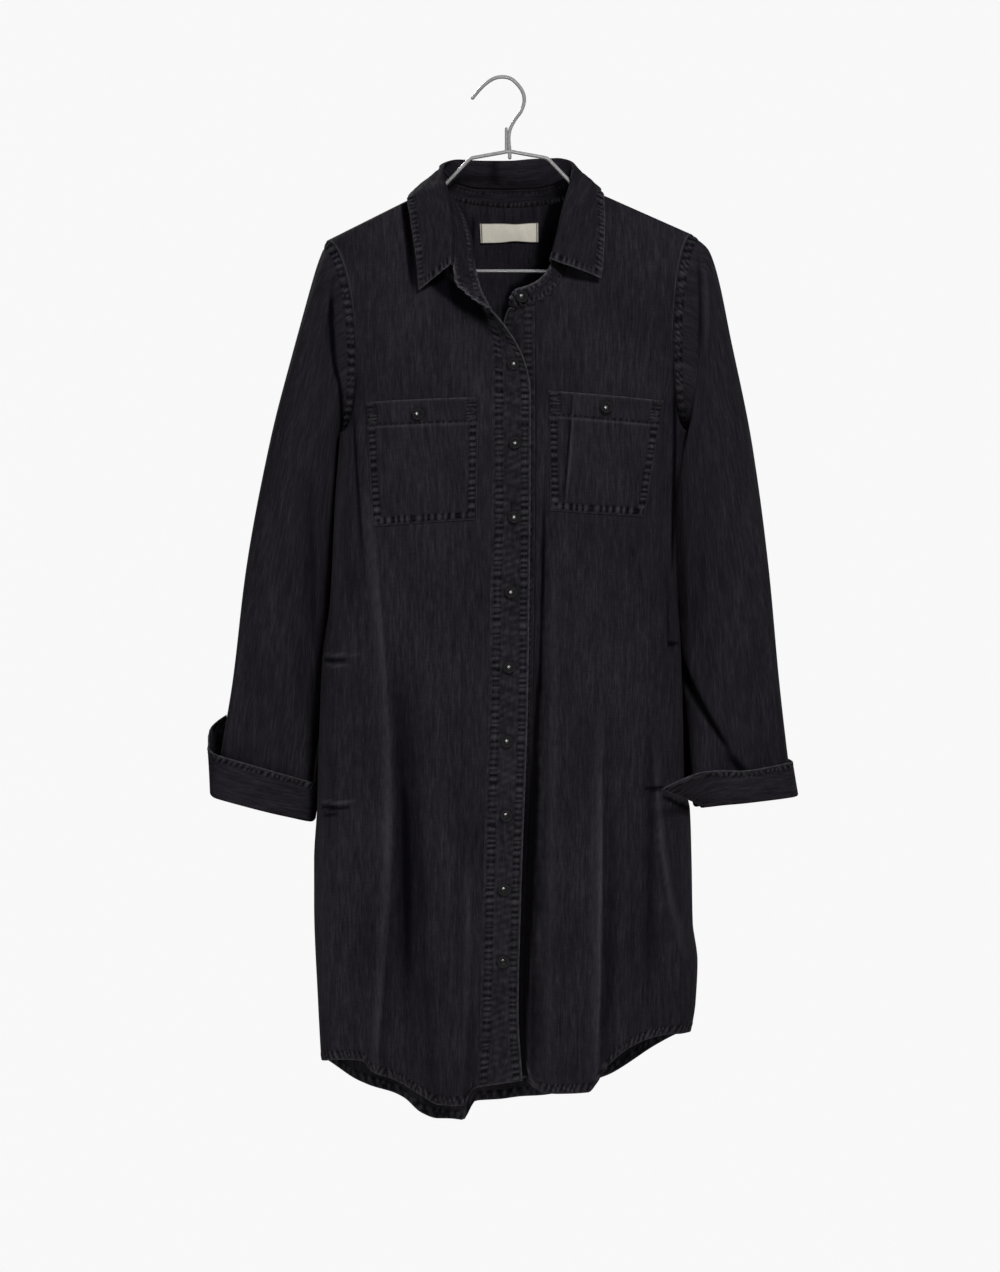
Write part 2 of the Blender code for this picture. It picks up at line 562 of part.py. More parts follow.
def build_cuff(side, look, parent):
    ends = np.radians(CUFF[side]["angle"][[0, -1]])
    angle = np.linspace(ends[0], ends[1], CUFF_ROUND)
    path = np.array([0, 0.2, 0.27, 0.35, 0.43, 0.5, 0.75, 1.0])
    angle, path = np.meshgrid(angle, path)
    face = cuff_point(side, angle, path)
    probe = (len(path) - 1, CUFF_ROUND // 2)
    normals = facing(grid_normals(face), probe, wrist_frame(side, angle[probe])[0])
    return wall("cuff_" + side, face, normals, BAND * 0.8, look, parent)


def stand_point(at, up):
    """A point of the stand: `at` is a row of its tables, up 0 its seam and 1 its upper edge."""
    seam, top = station(NECK_SEAM, at), station(STAND_TOP, at)
    seam = seam + unit(top - seam) * STAND_GAP
    return mix(seam, top, np.asarray(up, float)[..., None])


def build_stand(look, parent):
    first, last = FALL_STATIONS[0], FALL_STATIONS[-1]
    ends = np.arange(first), np.arange(last, len(NECK_SEAM["x"]))
    stations = np.concatenate([ends[0], np.arange(first, last, 0.5), ends[1]])
    face = stand_point(*np.meshgrid(stations, np.linspace(0, 1, 4)))
    normals = facing(grid_normals(face), (2, 18), (0, 1, 0))
    return wall("collar_stand", face, normals, BAND, look, parent)


def fall_point(at, path):
    """A point of the fall: `at` is a row of its tables, path 0 its seam inside, 0.4 its fold, 1 its edge."""
    at, path = np.broadcast_arrays(np.asarray(at, float), np.asarray(path, float))
    first = FALL_STATIONS[0]
    seam, neck = station(STAND_TOP, at + first), station(NECK_SEAM, at + first)
    roll, edge = station(FALL_ROLL, at), station(FALL_EDGE, at)
    up = unit(seam - neck)
    seam = seam + up * 3 * SEAM_GAP
    rise, fall = (np.linalg.norm(v, axis=-1, keepdims=True) for v in (roll - seam, edge - roll))
    over = unit(edge - seam) * (0.8 * np.minimum(rise, fall) + 3)
    first_half = path < FALL_FOLD
    t = np.where(first_half, path / FALL_FOLD, (path - FALL_FOLD) / (1 - FALL_FOLD))[..., None]
    half = first_half[..., None]
    start, end = np.where(half, seam, roll), np.where(half, roll, edge)
    leave = np.where(half, up * rise, over)
    arrive = np.where(half, over, edge - roll + FALL_SAG)
    return (
        (2 * t**3 - 3 * t**2 + 1) * start + (t**3 - 2 * t**2 + t) * leave
        + (3 * t**2 - 2 * t**3) * end + (t**3 - t**2) * arrive
    )


def build_fall(look, parent):
    at = np.linspace(0, len(FALL_STATIONS) - 1, 2 * len(FALL_STATIONS) - 1)
    path = np.array([0, 0.14, 0.27, 0.36, 0.44, 0.54, 0.7, 0.86, 1.0])
    at, path = np.meshgrid(at, path)
    face = fall_point(at, path)
    normals = facing(grid_normals(face), (7, len(FALL_STATIONS) - 1), (0, 1, 0))
    return wall("collar", face, normals, FALL, look, parent)


def band_point(tab, across, down):
    """A point of a button band: across 0 is its seam, 1 its folded edge; down is a row of its table."""
    across, down = np.broadcast_arrays(np.asarray(across, float), np.asarray(down, float))
    rows = np.arange(len(tab["seam_x"]))
    seam, edge = (
        np.stack([smooth(rows, tab[f"{place}_{axis}"], down) for axis in "xyz"], axis=-1)
        for place in ("seam", "edge")
    )
    return mix(seam, edge, across[..., None])


def build_band(name, tab, look, parent):
    rows = len(tab["seam_x"]) - 1
    down = np.concatenate([np.linspace(0, 6, 10), np.linspace(6, rows, 17)[1:]])
    across, down = np.meshgrid(np.linspace(0, 1, STRIP_COLUMNS), down)
    face = band_point(tab, across, down)
    normals = facing(grid_normals(face), (20, 1), (0, -1, 0))
    face[0] += unit(face[1] - face[0]) * 2 * SEAM_GAP
    face[:, 0] += unit(face[:, 1] - face[:, 0]) * SEAM_GAP
    return wall(name, face, normals, BAND * 0.9, look, parent)


def lifted(point, x, z, start):
    """The panel's points at x, z and its normals there, found from its across and down shares."""
    across, down = (np.full(np.shape(x), value) for value in start)
    step = 1e-3
    for _ in range(12):
        here = point(across, down)
        by_across = (point(across + step, down) - here) / step
        by_down = (point(across, down + step) - here) / step
        miss_x, miss_z = x - here[..., 0], z - here[..., 2]
        size = by_across[..., 0] * by_down[..., 2] - by_across[..., 2] * by_down[..., 0]
        across = np.clip(across + (miss_x * by_down[..., 2] - miss_z * by_down[..., 0]) / size, 0.01, 0.99)
        down = np.clip(down + (miss_z * by_across[..., 0] - miss_x * by_across[..., 2]) / size, 0.01, 0.98)
    here = point(across, down)
    normals = unit(np.cross(point(across + step, down) - here, point(across, down + step) - here))
    return here, normals


def patch(name, point, corners, rows, columns, base, thickness, outward, look, parent, start=(0.5, 0.4)):
    """A flat-cut piece sewn on a panel: corners in x and z, its wall moved out from the panel's points."""
    u, v = np.meshgrid(np.linspace(0, 1, columns), np.linspace(0, 1, rows))
    a, b, c, d = (np.array(corner, float) for corner in corners)
    plan = mix(mix(a, b, u[..., None]), mix(d, c, u[..., None]), v[..., None])
    here, normals = lifted(point, plan[..., 0], plan[..., 1], start)
    normals = facing(normals, (rows // 2, columns // 2), outward)
    return wall(name, here + normals * (base + thickness), normals, thickness, look, parent)


def turned(name, profile, sides, centre, axis, look, parent):
    """A solid turned about an axis: profile rows of radius and height, from the middle of one face round."""
    axis = unit(np.array(axis, float))
    across = unit(np.cross(axis, (0.0, 0.0, 1.0)))
    up = np.cross(across, axis)
    points, faces, rings = [], [], []
    for radius, height in profile:
        if radius == 0:
            rings.append([len(points)])
            points.append(centre + axis * height)
            continue
        rings.append(list(range(len(points), len(points) + sides)))
        for k in range(sides):
            turn = 2 * math.pi * k / sides
            points.append(centre + axis * height + (across * math.cos(turn) + up * math.sin(turn)) * radius)
    for low, high in zip(rings, rings[1:]):
        for k in range(sides):
            n = (k + 1) % sides
            if len(low) == 1:
                faces.append((low[0], high[n], high[k]))
            elif len(high) == 1:
                faces.append((low[k], low[n], high[0]))
            else:
                faces.append((low[k], low[n], high[n], high[k]))
    return add_object(name, points, faces, look, parent)


def build_button(name, centre, axis, look, parent):
    r, t = BUTTON_RADIUS, BUTTON_THICK
    profile = [
        (0, t - BUTTON_DISH), (r - BUTTON_RIM - 0.6, t - BUTTON_DISH), (r - BUTTON_RIM, t), (r - 0.5, t),
        (r, t * 0.55), (r - 0.9, 0), (0, 0),
    ]
    return turned(name, profile, 14, np.array(centre, float), axis, look, parent)


def tube(points, radius, sides, closed):
    """Points and faces of a round wire along a path in the XZ plane."""
    path = np.array(points, float)
    if closed:
        ahead, behind = np.roll(path, -1, axis=0), np.roll(path, 1, axis=0)
    else:
        ahead, behind = np.vstack([path[1:], path[-1]]), np.vstack([path[0], path[:-1]])
    along = unit(ahead - behind)
    side = np.stack([-along[:, 2], np.zeros(len(path)), along[:, 0]], axis=-1)
    depth = np.array([0.0, 1.0, 0.0])
    turn = 2 * math.pi * np.arange(sides) / sides
    rings = path[:, None] + radius * (
        side[:, None] * np.cos(turn)[None, :, None] + depth * np.sin(turn)[None, :, None]
    )
    faces = []
    count = len(path)
    for i in range(count if closed else count - 1):
        n = (i + 1) % count
        for j in range(sides):
            k = (j + 1) % sides
            faces.append((i * sides + j, i * sides + k, n * sides + k, n * sides + j))
    if not closed:
        faces.append(tuple(reversed(range(sides))))
        faces.append(tuple((count - 1) * sides + j for j in range(sides)))
    return rings.reshape(-1, 3), faces


def rounded_loop():
    """The hanger's arms and bar, with each corner turned on its bend radius."""
    corners = np.stack([HANGER_LOOP["x"], np.zeros(len(HANGER_LOOP["x"])), HANGER_LOOP["z"]], axis=-1)
    path = []
    for i, corner in enumerate(corners):
        before, after = corners[i - 1], corners[(i + 1) % len(corners)]
        into, out = unit(corner - before), unit(after - corner)
        angle = math.acos(np.clip(np.dot(into, out), -1, 1))
        cut = HANGER_LOOP["bend"][i] * math.tan(angle / 2)
        start, end = corner - into * cut, corner + out * cut
        for t in np.linspace(0, 1, HANGER_TURN_STEPS):
            path.append((1 - t) ** 2 * start + 2 * t * (1 - t) * corner + t**2 * end)
    return path


def build_hanger(look, parent):
    points, faces = tube(rounded_loop(), WIRE_RADIUS, 8, closed=True)
    hanger = add_object("hanger", points, faces, look, parent)
    rows = np.arange(len(HOOK["x"]))
    at = np.linspace(0, len(rows) - 1, 34)
    hook_path = np.stack([smooth_path(HOOK["x"], at), np.zeros(len(at)), smooth_path(HOOK["z"], at)], axis=-1)
    points, faces = tube(hook_path, WIRE_RADIUS * 1.01, 8, closed=False)
    hook = add_object("hook_tool", points, faces, look, parent)
    hook.hide_render = True
    hook.display_type = "WIRE"
    union = hanger.modifiers.new("hook", "BOOLEAN")
    union.operation = "UNION"
    union.object = hook
    return hanger


def smooth_path(values, at):
    """A Catmull-Rom curve through the values, which may turn back, read at fractional rows."""
    padded = np.concatenate([[2 * values[0] - values[1]], values, [2 * values[-1] - values[-2]]])
    i = np.clip(np.floor(at).astype(int), 0, len(values) - 2)
    t = at - i
    a, b, c, d = (padded[i + k] for k in range(4))
    return 0.5 * (2 * b + (c - a) * t + (2 * a - 5 * b + 4 * c - d) * t**2 + (3 * b - a - 3 * c + d) * t**3)


def build():
    for old in list(bpy.data.objects):
        bpy.data.objects.remove(old, do_unlink=True)
    root = bpy.data.objects.new("dress", None)
    bpy.context.scene.collection.objects.link(root)
    denim = material("denim", (0.017, 0.016, 0.020), 0.85)
    button_look = material("button", (0.012, 0.012, 0.013), 0.25)
    label_look = material("label", (0.80, 0.76, 0.66), 0.8)
    wire_look = material("wire", (0.55, 0.55, 0.55), 0.3, 1.0)

    for side in ("right", "left"):
        build_front(side, denim, root)
        build_sleeve(side, denim, root)
        build_cuff(side, denim, root)
    build_back(denim, root)
    build_stand(denim, root)
    build_fall(denim, root)
    build_band("placket_right", OVERLAP, denim, root)
    build_band("placket_left", UNDERLAP, denim, root)

    for side in ("right", "left"):
        def front(across, down, side=side):
            return front_point(side, across, down) - (0, SEAM_GAP, 0)

        patch("pocket_" + side, front, POCKET[side], 9, 8, POCKET_LIFT, POCKET_CLOTH, (0, -1, 0), denim, root)
        x, z = POCKET_BUTTON[side]
        here, normals = lifted(front, np.array([x]), np.array([z]), (0.5, 0.3))
        axis = facing(normals, (0,), (0, -1, 0))[0]
        place = here[0] + axis * (POCKET_LIFT + LIFT + POCKET_CLOTH)
        build_button("button_pocket_" + side, place, axis, button_look, root)

    def back_inside(across, down):
        return back_point(across, down) + (0, SEAM_GAP - CLOTH, 0)

    near_neck = (0.5, 0.05)
    patch("label", back_inside, LABEL, 3, 7, LABEL_LIFT, LABEL_CLOTH, (0, -1, 0), label_look, root, near_neck)

    def band(across, down):
        return band_point(OVERLAP, across, down * (len(OVERLAP["seam_x"]) - 1))

    here, normals = lifted(band, PLACKET_BUTTONS["x"], PLACKET_BUTTONS["z"], (0.6, 0.6))
    for i, place in enumerate(here):
        axis = facing(normals, (i,), (0, -1, 0))[i]
        build_button(f"button_{i + 1}", place + axis * BUTTON_LIFT, axis, button_look, root)
    at, step = STAND_BUTTON_STATION, 0.1
    place = stand_point(at, 0.5)
    along = stand_point(at + step, 0.5) - stand_point(at - step, 0.5)
    axis = unit(np.cross(along, stand_point(at, 1) - stand_point(at, 0)))
    axis = axis if axis[1] < 0 else -axis
    build_button("button_stand", place + axis * 1.5 * BUTTON_LIFT, axis, button_look, root)
    build_hanger(wire_look, root)


build()
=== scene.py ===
"""Looks for the shirt dress on its wire hanger: cloth shells, sewing, buttons, wire, light and camera.

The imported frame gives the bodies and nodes. Tables and shape functions repeat those of part.py, in
millimetres; meshes are made in metres. +X is the wearer's left, -Y the front, +Z up.
"""

import math

import bpy
import numpy as np
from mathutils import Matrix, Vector


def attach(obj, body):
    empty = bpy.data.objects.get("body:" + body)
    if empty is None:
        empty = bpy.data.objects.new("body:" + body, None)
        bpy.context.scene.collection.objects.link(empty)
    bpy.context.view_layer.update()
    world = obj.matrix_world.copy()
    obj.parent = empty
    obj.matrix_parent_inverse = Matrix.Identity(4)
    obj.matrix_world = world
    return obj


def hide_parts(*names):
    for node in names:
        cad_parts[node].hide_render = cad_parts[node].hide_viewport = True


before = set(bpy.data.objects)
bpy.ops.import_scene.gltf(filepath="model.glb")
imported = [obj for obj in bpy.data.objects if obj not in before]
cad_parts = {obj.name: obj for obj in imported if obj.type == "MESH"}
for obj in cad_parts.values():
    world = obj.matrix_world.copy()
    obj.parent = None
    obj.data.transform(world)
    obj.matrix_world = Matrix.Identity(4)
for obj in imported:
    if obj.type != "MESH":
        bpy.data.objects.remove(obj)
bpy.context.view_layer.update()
MM = 0.001

# ---- the shape, as part.py has it ------------------------------------------------------------------
BAND = 2.0              # two layers of cloth
SEAM_GAP = 0.35         # from a surface up to the next piece on it
BUTTON_LIFT = 0.6       # from a band's face up to a button's back
POCKET_BUTTON_LIFT = 3.25       # the same, from the front's face up through the pocket
WIRE_RADIUS = 1.9
BUTTON_RADIUS, BUTTON_THICK = 6.2, 3.0
SIDES = ("right", "left")
INWARD = {"right": 1, "left": -1}
FRONT, BEHIND = -1, 1
UNDERARM = 0.27         # share of a panel's rows that lie above the underarm
NECK_END = 0.15         # share of a front's rows that lie along the neckline
BACK_POWER = 3.2        # superellipse power of the body's section behind: how flat the middle is
FRONT_POWER = 4.2       # the same in front, where the cloth hangs flatter than the solid
SHOULDER_POWER = 1.25   # the same at the shoulder, where the panels are nearly ruled
NECK_POWER = 1.6        # the same at the neckline
SIDE_SHARE = 0.07       # share of a panel next to its side seam where folds die away
CHEST_SWELL = 4.0       # how far the chest stands out over its section
CHEST_RISE = 35.0       # how much higher the underarm row meets the placket than the side


def numbers(rows):
    """Rows of numbers, parted by commas."""
    return np.array([row.split() for row in rows.split(",")], float)


def table(names, rows):
    """Rows of numbers as one array for each named column."""
    return dict(zip(names.split(), numbers(rows).T))


SHOULDER = {"right": (-173.0, -166.0), "left": (202.9, -159.7)}    # x, z of the shoulder points
UNDERARM_POINT = {"right": (-158.6, -364.8), "left": (196.7, -362.6)}
ARMHOLE_BOW = {"right": 24.0, "left": 19.0}     # how far the armhole curves in from its chord, in front
ARMHOLE_BOW_BEHIND = 10.0
ARMHOLE_DEPTH = {FRONT: 37.0, BEHIND: 33.0}     # how far it stands out in front of and behind the hanger

SIDE = {
    "right": table("z x", """
        -364.8 -158.6, -432 -163.7, -536 -169, -598 -177, -700 -181, -748 -182.3, -803 -185.4, -845 -185.4,
        -948 -181.3, -1010 -178
    """),
    "left": table("z x", """
        -362.6 196.7, -400 190, -433 184.3, -536 187.5, -582 190.5, -639 192.5, -725 194.5, -750 200,
        -803 201.8, -865 203, -906 208, -948 206, -980 201
    """),
}
BACK_MIDDLE_Y = 46.0
FOLD_FADE = 60.0        # length over which a fold dies away above its top

# from the right front's end, round the back, to the left front's end
NECK_SEAM = table("x y z", """
    -4 -73 -244, -10 -70 -235, -15 -66 -226, -19 -60 -214, -22 -54 -200, -25 -40 -170, -33 -24 -141,
    -48 -10 -122, -59 0 -109, -47 20 -121, -18 34 -125, 16 38 -127, 49 34 -125, 75 20 -121, 89.5 0 -109.5,
    89 -12 -131, 83 -26 -157, 76 -40 -185, 68 -50 -209, 59 -56 -222, 47 -58 -232, 33 -58 -237, 22 -58 -239,
    14 -57 -237
""")
# the stand's upper edge, station for station
STAND_TOP = table("x y z", """
    -7 -74.5 -242.5, -20 -76 -235, -32 -75 -225, -40 -71 -216, -42 -66 -199, -41 -54 -170, -46 -34 -133,
    -52 -14 -106, -57 4 -90, -42 19 -103, -16 30 -108, 16 34 -108, 46 30 -107, 67 19 -102, 82 4 -93.5,
    78 -14 -113, 70 -34 -143, 63 -50 -173, 57 -58 -195, 52 -61 -204, 42 -62 -214, 31 -62 -219, 21 -61 -222,
    15 -58.5 -230
""")
NECK_SIDE = {"right": 8, "left": 14}            # the stations at the shoulder seams
SEAM_STATION = {"right": 3, "left": 20.55}      # where the plackets' seams meet the neckline
FALL_STATIONS = range(4, 19)                    # the stations that carry the fall

# the fold of the collar's fall, on the stations that carry it
FALL_ROLL = table("x y z", """
    -45 -72 -199, -46 -62 -169, -50 -43 -131, -55 -18 -101, -51 5 -85.5, -37 23 -80, -12 35 -79.5,
    16 39 -79, 42 35 -77.5, 64 25 -78, 81 6 -86, 80 -17 -106, 72 -44 -140, 65 -58 -171, 58 -65 -193
""")
# its outer edge, from the right point round to the left point
FALL_EDGE = table("x y z", """
    -77 -57 -223, -80.5 -48 -187, -86 -33 -151, -90 -11 -124, -88 9 -119, -66 37 -124, -28 48 -121,
    16 52 -120, 57 48 -119, 92 36 -118, 106.5 10 -111, 111 -10 -118.5, 112.5 -32 -145, 110.5 -50 -188,
    107.5 -57 -211
""")

# the right front's button band: seam side and folded edge
OVERLAP = table("seam_x seam_y seam_z edge_x edge_y edge_z", """
    -19 -60 -214 -4 -73.5 -244.5, -16 -58 -230 4 -73 -253, -10 -57 -245 14 -69 -265,
    -5 -56 -261 22 -65 -277, -3 -56 -278 29 -61 -291, -2 -56 -300 34 -58.5 -308,
    -2 -56.5 -326 36.5 -57 -328, -2 -57 -435 36 -57 -435, -4 -57 -536 35 -57 -536, -6 -58 -660 33 -58 -660,
    -9 -58 -743 30 -58 -743, -11 -57 -826 27 -57 -826, -14 -55 -949 24 -55 -949, -18 -53 -1030 28 -53 -1023
""")
# the left front's button band, behind it
UNDERLAP = table("seam_x seam_y seam_z edge_x edge_y edge_z", """
    41 -58 -235.5 14 -57 -240.5, 41 -56 -249 10 -55 -249, 41 -54.5 -268 7 -53.3 -268,
    41 -51.5 -298 5 -52 -298, 41 -51 -326 3 -51.5 -326, 41 -50 -435 2 -51.5 -435, 40 -48 -536 1 -51.5 -536,
    38 -46 -660 -1 -52 -660, 35 -44.5 -743 -4 -52 -743, 32 -42.5 -826 -7 -51 -826,
    29 -39.5 -949 -9 -49 -949, 33 -38.5 -1022 -9 -47 -1026
""")

HEM = {                 # height of the shirt-tail hem across each piece
    "front_right": table("x z", """
        -180 -1007, -158 -1003, -134 -1002, -126 -1011, -94 -1026, -78 -1037, -56 -1046, -32 -1046,
        -21 -1031, -10 -1030
    """),
    "front_left": table("x z", """
        30 -1022, 38 -1031, 50 -1035.5, 74 -1037, 95 -1035, 103 -1026, 112 -1013, 142 -990, 175 -979,
        202 -978
    """),
    "back": table("x z", """
        -180 -1007, -145 -1034, -95 -1056, -78 -1070, -59 -1078, -34 -1079, -20 -1058, 16 -1056, 75 -1048,
        120 -1030, 165 -1000, 202 -978
    """),
}

# Folds: a crest line x(z), its width on each side, and how far it stands out at its top, middle and foot.
FOLD_COLUMNS = "z_top z_mid z_low x_top x_mid x_low width_right width_left out_top out_mid out_low"
FOLDS = {
    # side fold, dropping inwards; lobe beside the placket; valley between them; drag from the collar
    "front_right": table(FOLD_COLUMNS, """
        -400 -660 -1010 -134 -108 -120 36 14 0 8 14, -560 -800 -1046 -58 -48 -38 40 22 0 8 19,
        -600 -780 -1040 -96 -86 -76 20 18 0 -5 -7, -240 -300 -420 -70 -84 -104 20 24 0 2.5 0
    """),
    # lobe beside the placket; sharp fold over the hem step; valley and ridge at the side; fold at the armhole
    "front_left": table(FOLD_COLUMNS, """
        -420 -700 -1036 64 60 54 20 40 1 8 16, -600 -800 -1036 112 108 102 36 15 0 6 14,
        -640 -800 -1000 150 150 148 20 18 0 -4 -6, -740 -850 -990 170 180 190 12 12 0 3 4,
        -340 -430 -560 168 166 172 12 10 0 3 0
    """),
    "back": table(FOLD_COLUMNS, """
        -330 -640 -1080 -118 -108 -104 26 30 1 5 10, -420 -760 -1080 -52 -48 -48 34 24 0 6 12,
        -300 -700 -1056 34 30 26 24 30 1 5 9, -380 -720 -1040 112 104 100 26 22 1 6 12,
        -200 -330 -560 -90 -104 -126 22 22 0 4 0, -200 -340 -560 120 134 150 22 22 0 4 0
    """),
}

SLEEVE_COLUMNS = "along out_x out_z in_x in_z in_y front back bow"
SLEEVE = {              # rings from the armhole to the wrist: outer and inner line, depths, inward bow
    "right": table(SLEEVE_COLUMNS, """
        0 -173 -166 -159.2 -365 0 37 33 1, 0.05 -183 -192 -162.5 -374 6 40 36 0.3,
        0.18 -203 -266 -162 -418 20 44 40 0.1, 0.37 -230 -371 -165.5 -490 22 42 38 0,
        0.61 -255.5 -506 -172.5 -578 22 36 34 0, 0.81 -269 -618 -179 -650 22 31 30 0,
        0.93 -280 -685 -187 -712 16 28 28 0, 1 -286 -724 -190.5 -750 12 26 27 0
    """),
    "left": table(SLEEVE_COLUMNS, """
        0 202.9 -159.7 198 -363 0 37 33 1, 0.05 221 -178 202.6 -373 6 40 36 0.2,
        0.2 243 -274 187 -415 20 44 40 0.1, 0.39 264 -379 182 -488 22 42 38 0,
        0.62 281 -506 188 -570 20 36 34 0, 0.82 291.5 -618 194.5 -645 8 31 30 0,
        0.94 299 -684 201 -704 -4 28 28 0, 1 304 -722 206 -735 -10 26 27 0
    """),
}

FALL_FOLD = 0.4         # share of the fall's path from its seam to its fold
FALL_SAG = np.array([0.0, -4.0, -3.0])   # how far the fall's lower part bows before its edge
SLEEVE_FLAT = 0.48      # below 1, a sleeve is flatter in front and behind than an oval
CUFF_DROP = 13.0        # from the cuff's seam down to the fold where it turns back
CUFF_TURN = 3.0         # radius of that fold
CUFF = {                # round the wrist: 0 is the outer side, 90 the front, 180 the side next to the body
    "right": table("angle leg tilt lift", """
        -38 46 36 44, -20 45 26 26, 0 44 13 4, 30 43 8 -2, 90 41 5 -2, 140 37 4 0, 180 35 3 0, 230 38 6 0,
        280 40 8 10, 314 42 14 24
    """),
    "left": table("angle leg tilt lift", """
        -166 38 5 0, -90 38 7 -3, -30 38 3 -5, 0 37 -2 -6, 45 35 3 -5, 90 32 6 -3, 125 35 24 0, 145 46 52 0,
        157 60 73 0
    """),
}

# corners, x and z: the upper two from -X to +X, and the lower two from +X to -X
POCKET = {
    "right": ((-131, -336), (-16.5, -331), (-18.5, -455), (-124, -462)),
    "left": ((54, -324), (171, -334), (152, -452), (56, -446)),
}
LABEL = ((-16, -143), (45, -142), (45, -162), (-15, -163))

PLACKET_BUTTONS = table("x z", """
    19 -297, 20.5 -377, 19.5 -452, 16.5 -528, 14.5 -604, 12.5 -679, 11.5 -754, 9.5 -829, 8.5 -902
""")
STAND_BUTTON_STATION = 21.4
POCKET_BUTTON = {"right": (-78, -348), "left": (113, -341)}

# centre line of the hanger's hook, from its tip down to the arms
HOOK = table("x z", """
    -23 -18.5, -15.5 -9.5, -8 -2.6, 0 1.9, 9 3.1, 18 0.3, 27 -9.5, 30.2 -20, 27.5 -31, 20.5 -41, 15.6 -51,
    14.2 -61, 15 -71, 15.2 -80
""")
# arms and bar, clockwise from the apex
HANGER_LOOP = table("x z bend", """
    14.8 -73.4 3, 54 -80.5 9, 84.5 -112.3 8, 194 -165 7, 190 -197 7, -158 -197 7, -166 -168.5 7,
    -57 -113.8 8, -25 -80.5 9
""")
HANGER_TURN_STEPS = 4


# ---- curves and surfaces, as part.py has them ----------------------------------------------------
def mix(a, b, share):
    return a + (b - a) * share


def rise(value, low, high):
    """0 below low, 1 above high, smooth between."""
    t = np.clip((value - low) / (high - low), 0, 1)
    return t * t * (3 - 2 * t)


def unit(v):
    return v / np.maximum(np.linalg.norm(v, axis=-1, keepdims=True), 1e-9)


def matched(*shares):
    return np.broadcast_arrays(*(np.asarray(share, float) for share in shares))


def hermite(t, start, leave, end, arrive):
    """A cubic from start to end that leaves and arrives at these slopes, read at t."""
    return (
        (2 * t**3 - 3 * t**2 + 1) * start + (t**3 - 2 * t**2 + t) * leave
        + (3 * t**2 - 2 * t**3) * end + (t**3 - t**2) * arrive
    )


def smooth(xs, ys, at):
    """A curve through the points (xs rising or falling) that never overshoots them, read at `at`."""
    xs, ys = np.asarray(xs, float), np.asarray(ys, float)
    if xs[0] > xs[-1]:
        xs, ys = xs[::-1], ys[::-1]
    at = np.clip(np.asarray(at, float), xs[0], xs[-1])
    step = np.diff(xs)
    slope = np.diff(ys) / step
    same = slope[:-1] * slope[1:] > 0
    inner = np.where(same, 2 * slope[:-1] * slope[1:] / np.where(same, slope[:-1] + slope[1:], 1), 0)
    tangent = np.concatenate([slope[:1], inner, slope[-1:]])
    i = np.clip(np.searchsorted(xs, at, side="right") - 1, 0, len(step) - 1)
    return hermite((at - xs[i]) / step[i], ys[i], step[i] * tangent[i], ys[i + 1], step[i] * tangent[i + 1])


def station(tab, at, place=""):
    """A table's point at a fractional row: its columns x, y and z, or those of the place."""
    rows = np.arange(len(tab[place + "x"]))
    return np.stack([smooth(rows, tab[place + axis], at) for axis in "xyz"], axis=-1)


def oval(share, power):
    """0 at a side seam, 1 in the middle, with an upright start: a superellipse's quarter."""
    return (1 - (1 - np.clip(share, 0, 1)) ** power) ** (1 / power)


def armhole(side, share, face):
    """The armhole seam from the shoulder point (0) to the underarm (1), in front or behind."""
    top, low = SHOULDER[side], UNDERARM_POINT[side]
    bow = ARMHOLE_BOW[side] if face == FRONT else ARMHOLE_BOW_BEHIND
    angle = math.pi * share
    down, out = (1 - np.cos(angle)) / 2, np.sin(angle)
    x = mix(top[0], low[0], down) + INWARD[side] * bow * out
    return np.stack([x, face * ARMHOLE_DEPTH[face] * out, mix(top[1], low[1], down)], axis=-1)


def bump(distance, width_right, width_left):
    """A soft crest: 1 on the line, 0 at its width to either side."""
    share = np.where(distance < 0, -distance / width_right, distance / width_left)
    return np.where(share < 1, 0.5 + 0.5 * np.cos(np.pi * np.clip(share, 0, 1)), 0)


def folds(piece, x, z):
    """How far the piece's folds stand out at each x, z. The crest's right width is towards -X."""
    tab = FOLDS[piece]
    out = np.zeros_like(x)
    for i in range(len(tab["z_top"])):
        levels, crest, height = (
            [tab[f"{key}_{level}"][i] for level in ("top", "mid", "low")] for key in ("z", "x", "out")
        )
        line, stands = (smooth(levels, values, z) for values in (crest, height))
        fade = np.clip((FOLD_FADE + levels[0] - z) / FOLD_FADE, 0, 1)
        out += stands * fade * bump(x - line, tab["width_right"][i], tab["width_left"][i])
    return out


def panel_shares(down):
    """How far down a panel's upper and lower part, which meet at the underarm."""
    return np.clip(down / UNDERARM, 0, 1), np.clip((down - UNDERARM) / (1 - UNDERARM), 0, 1)


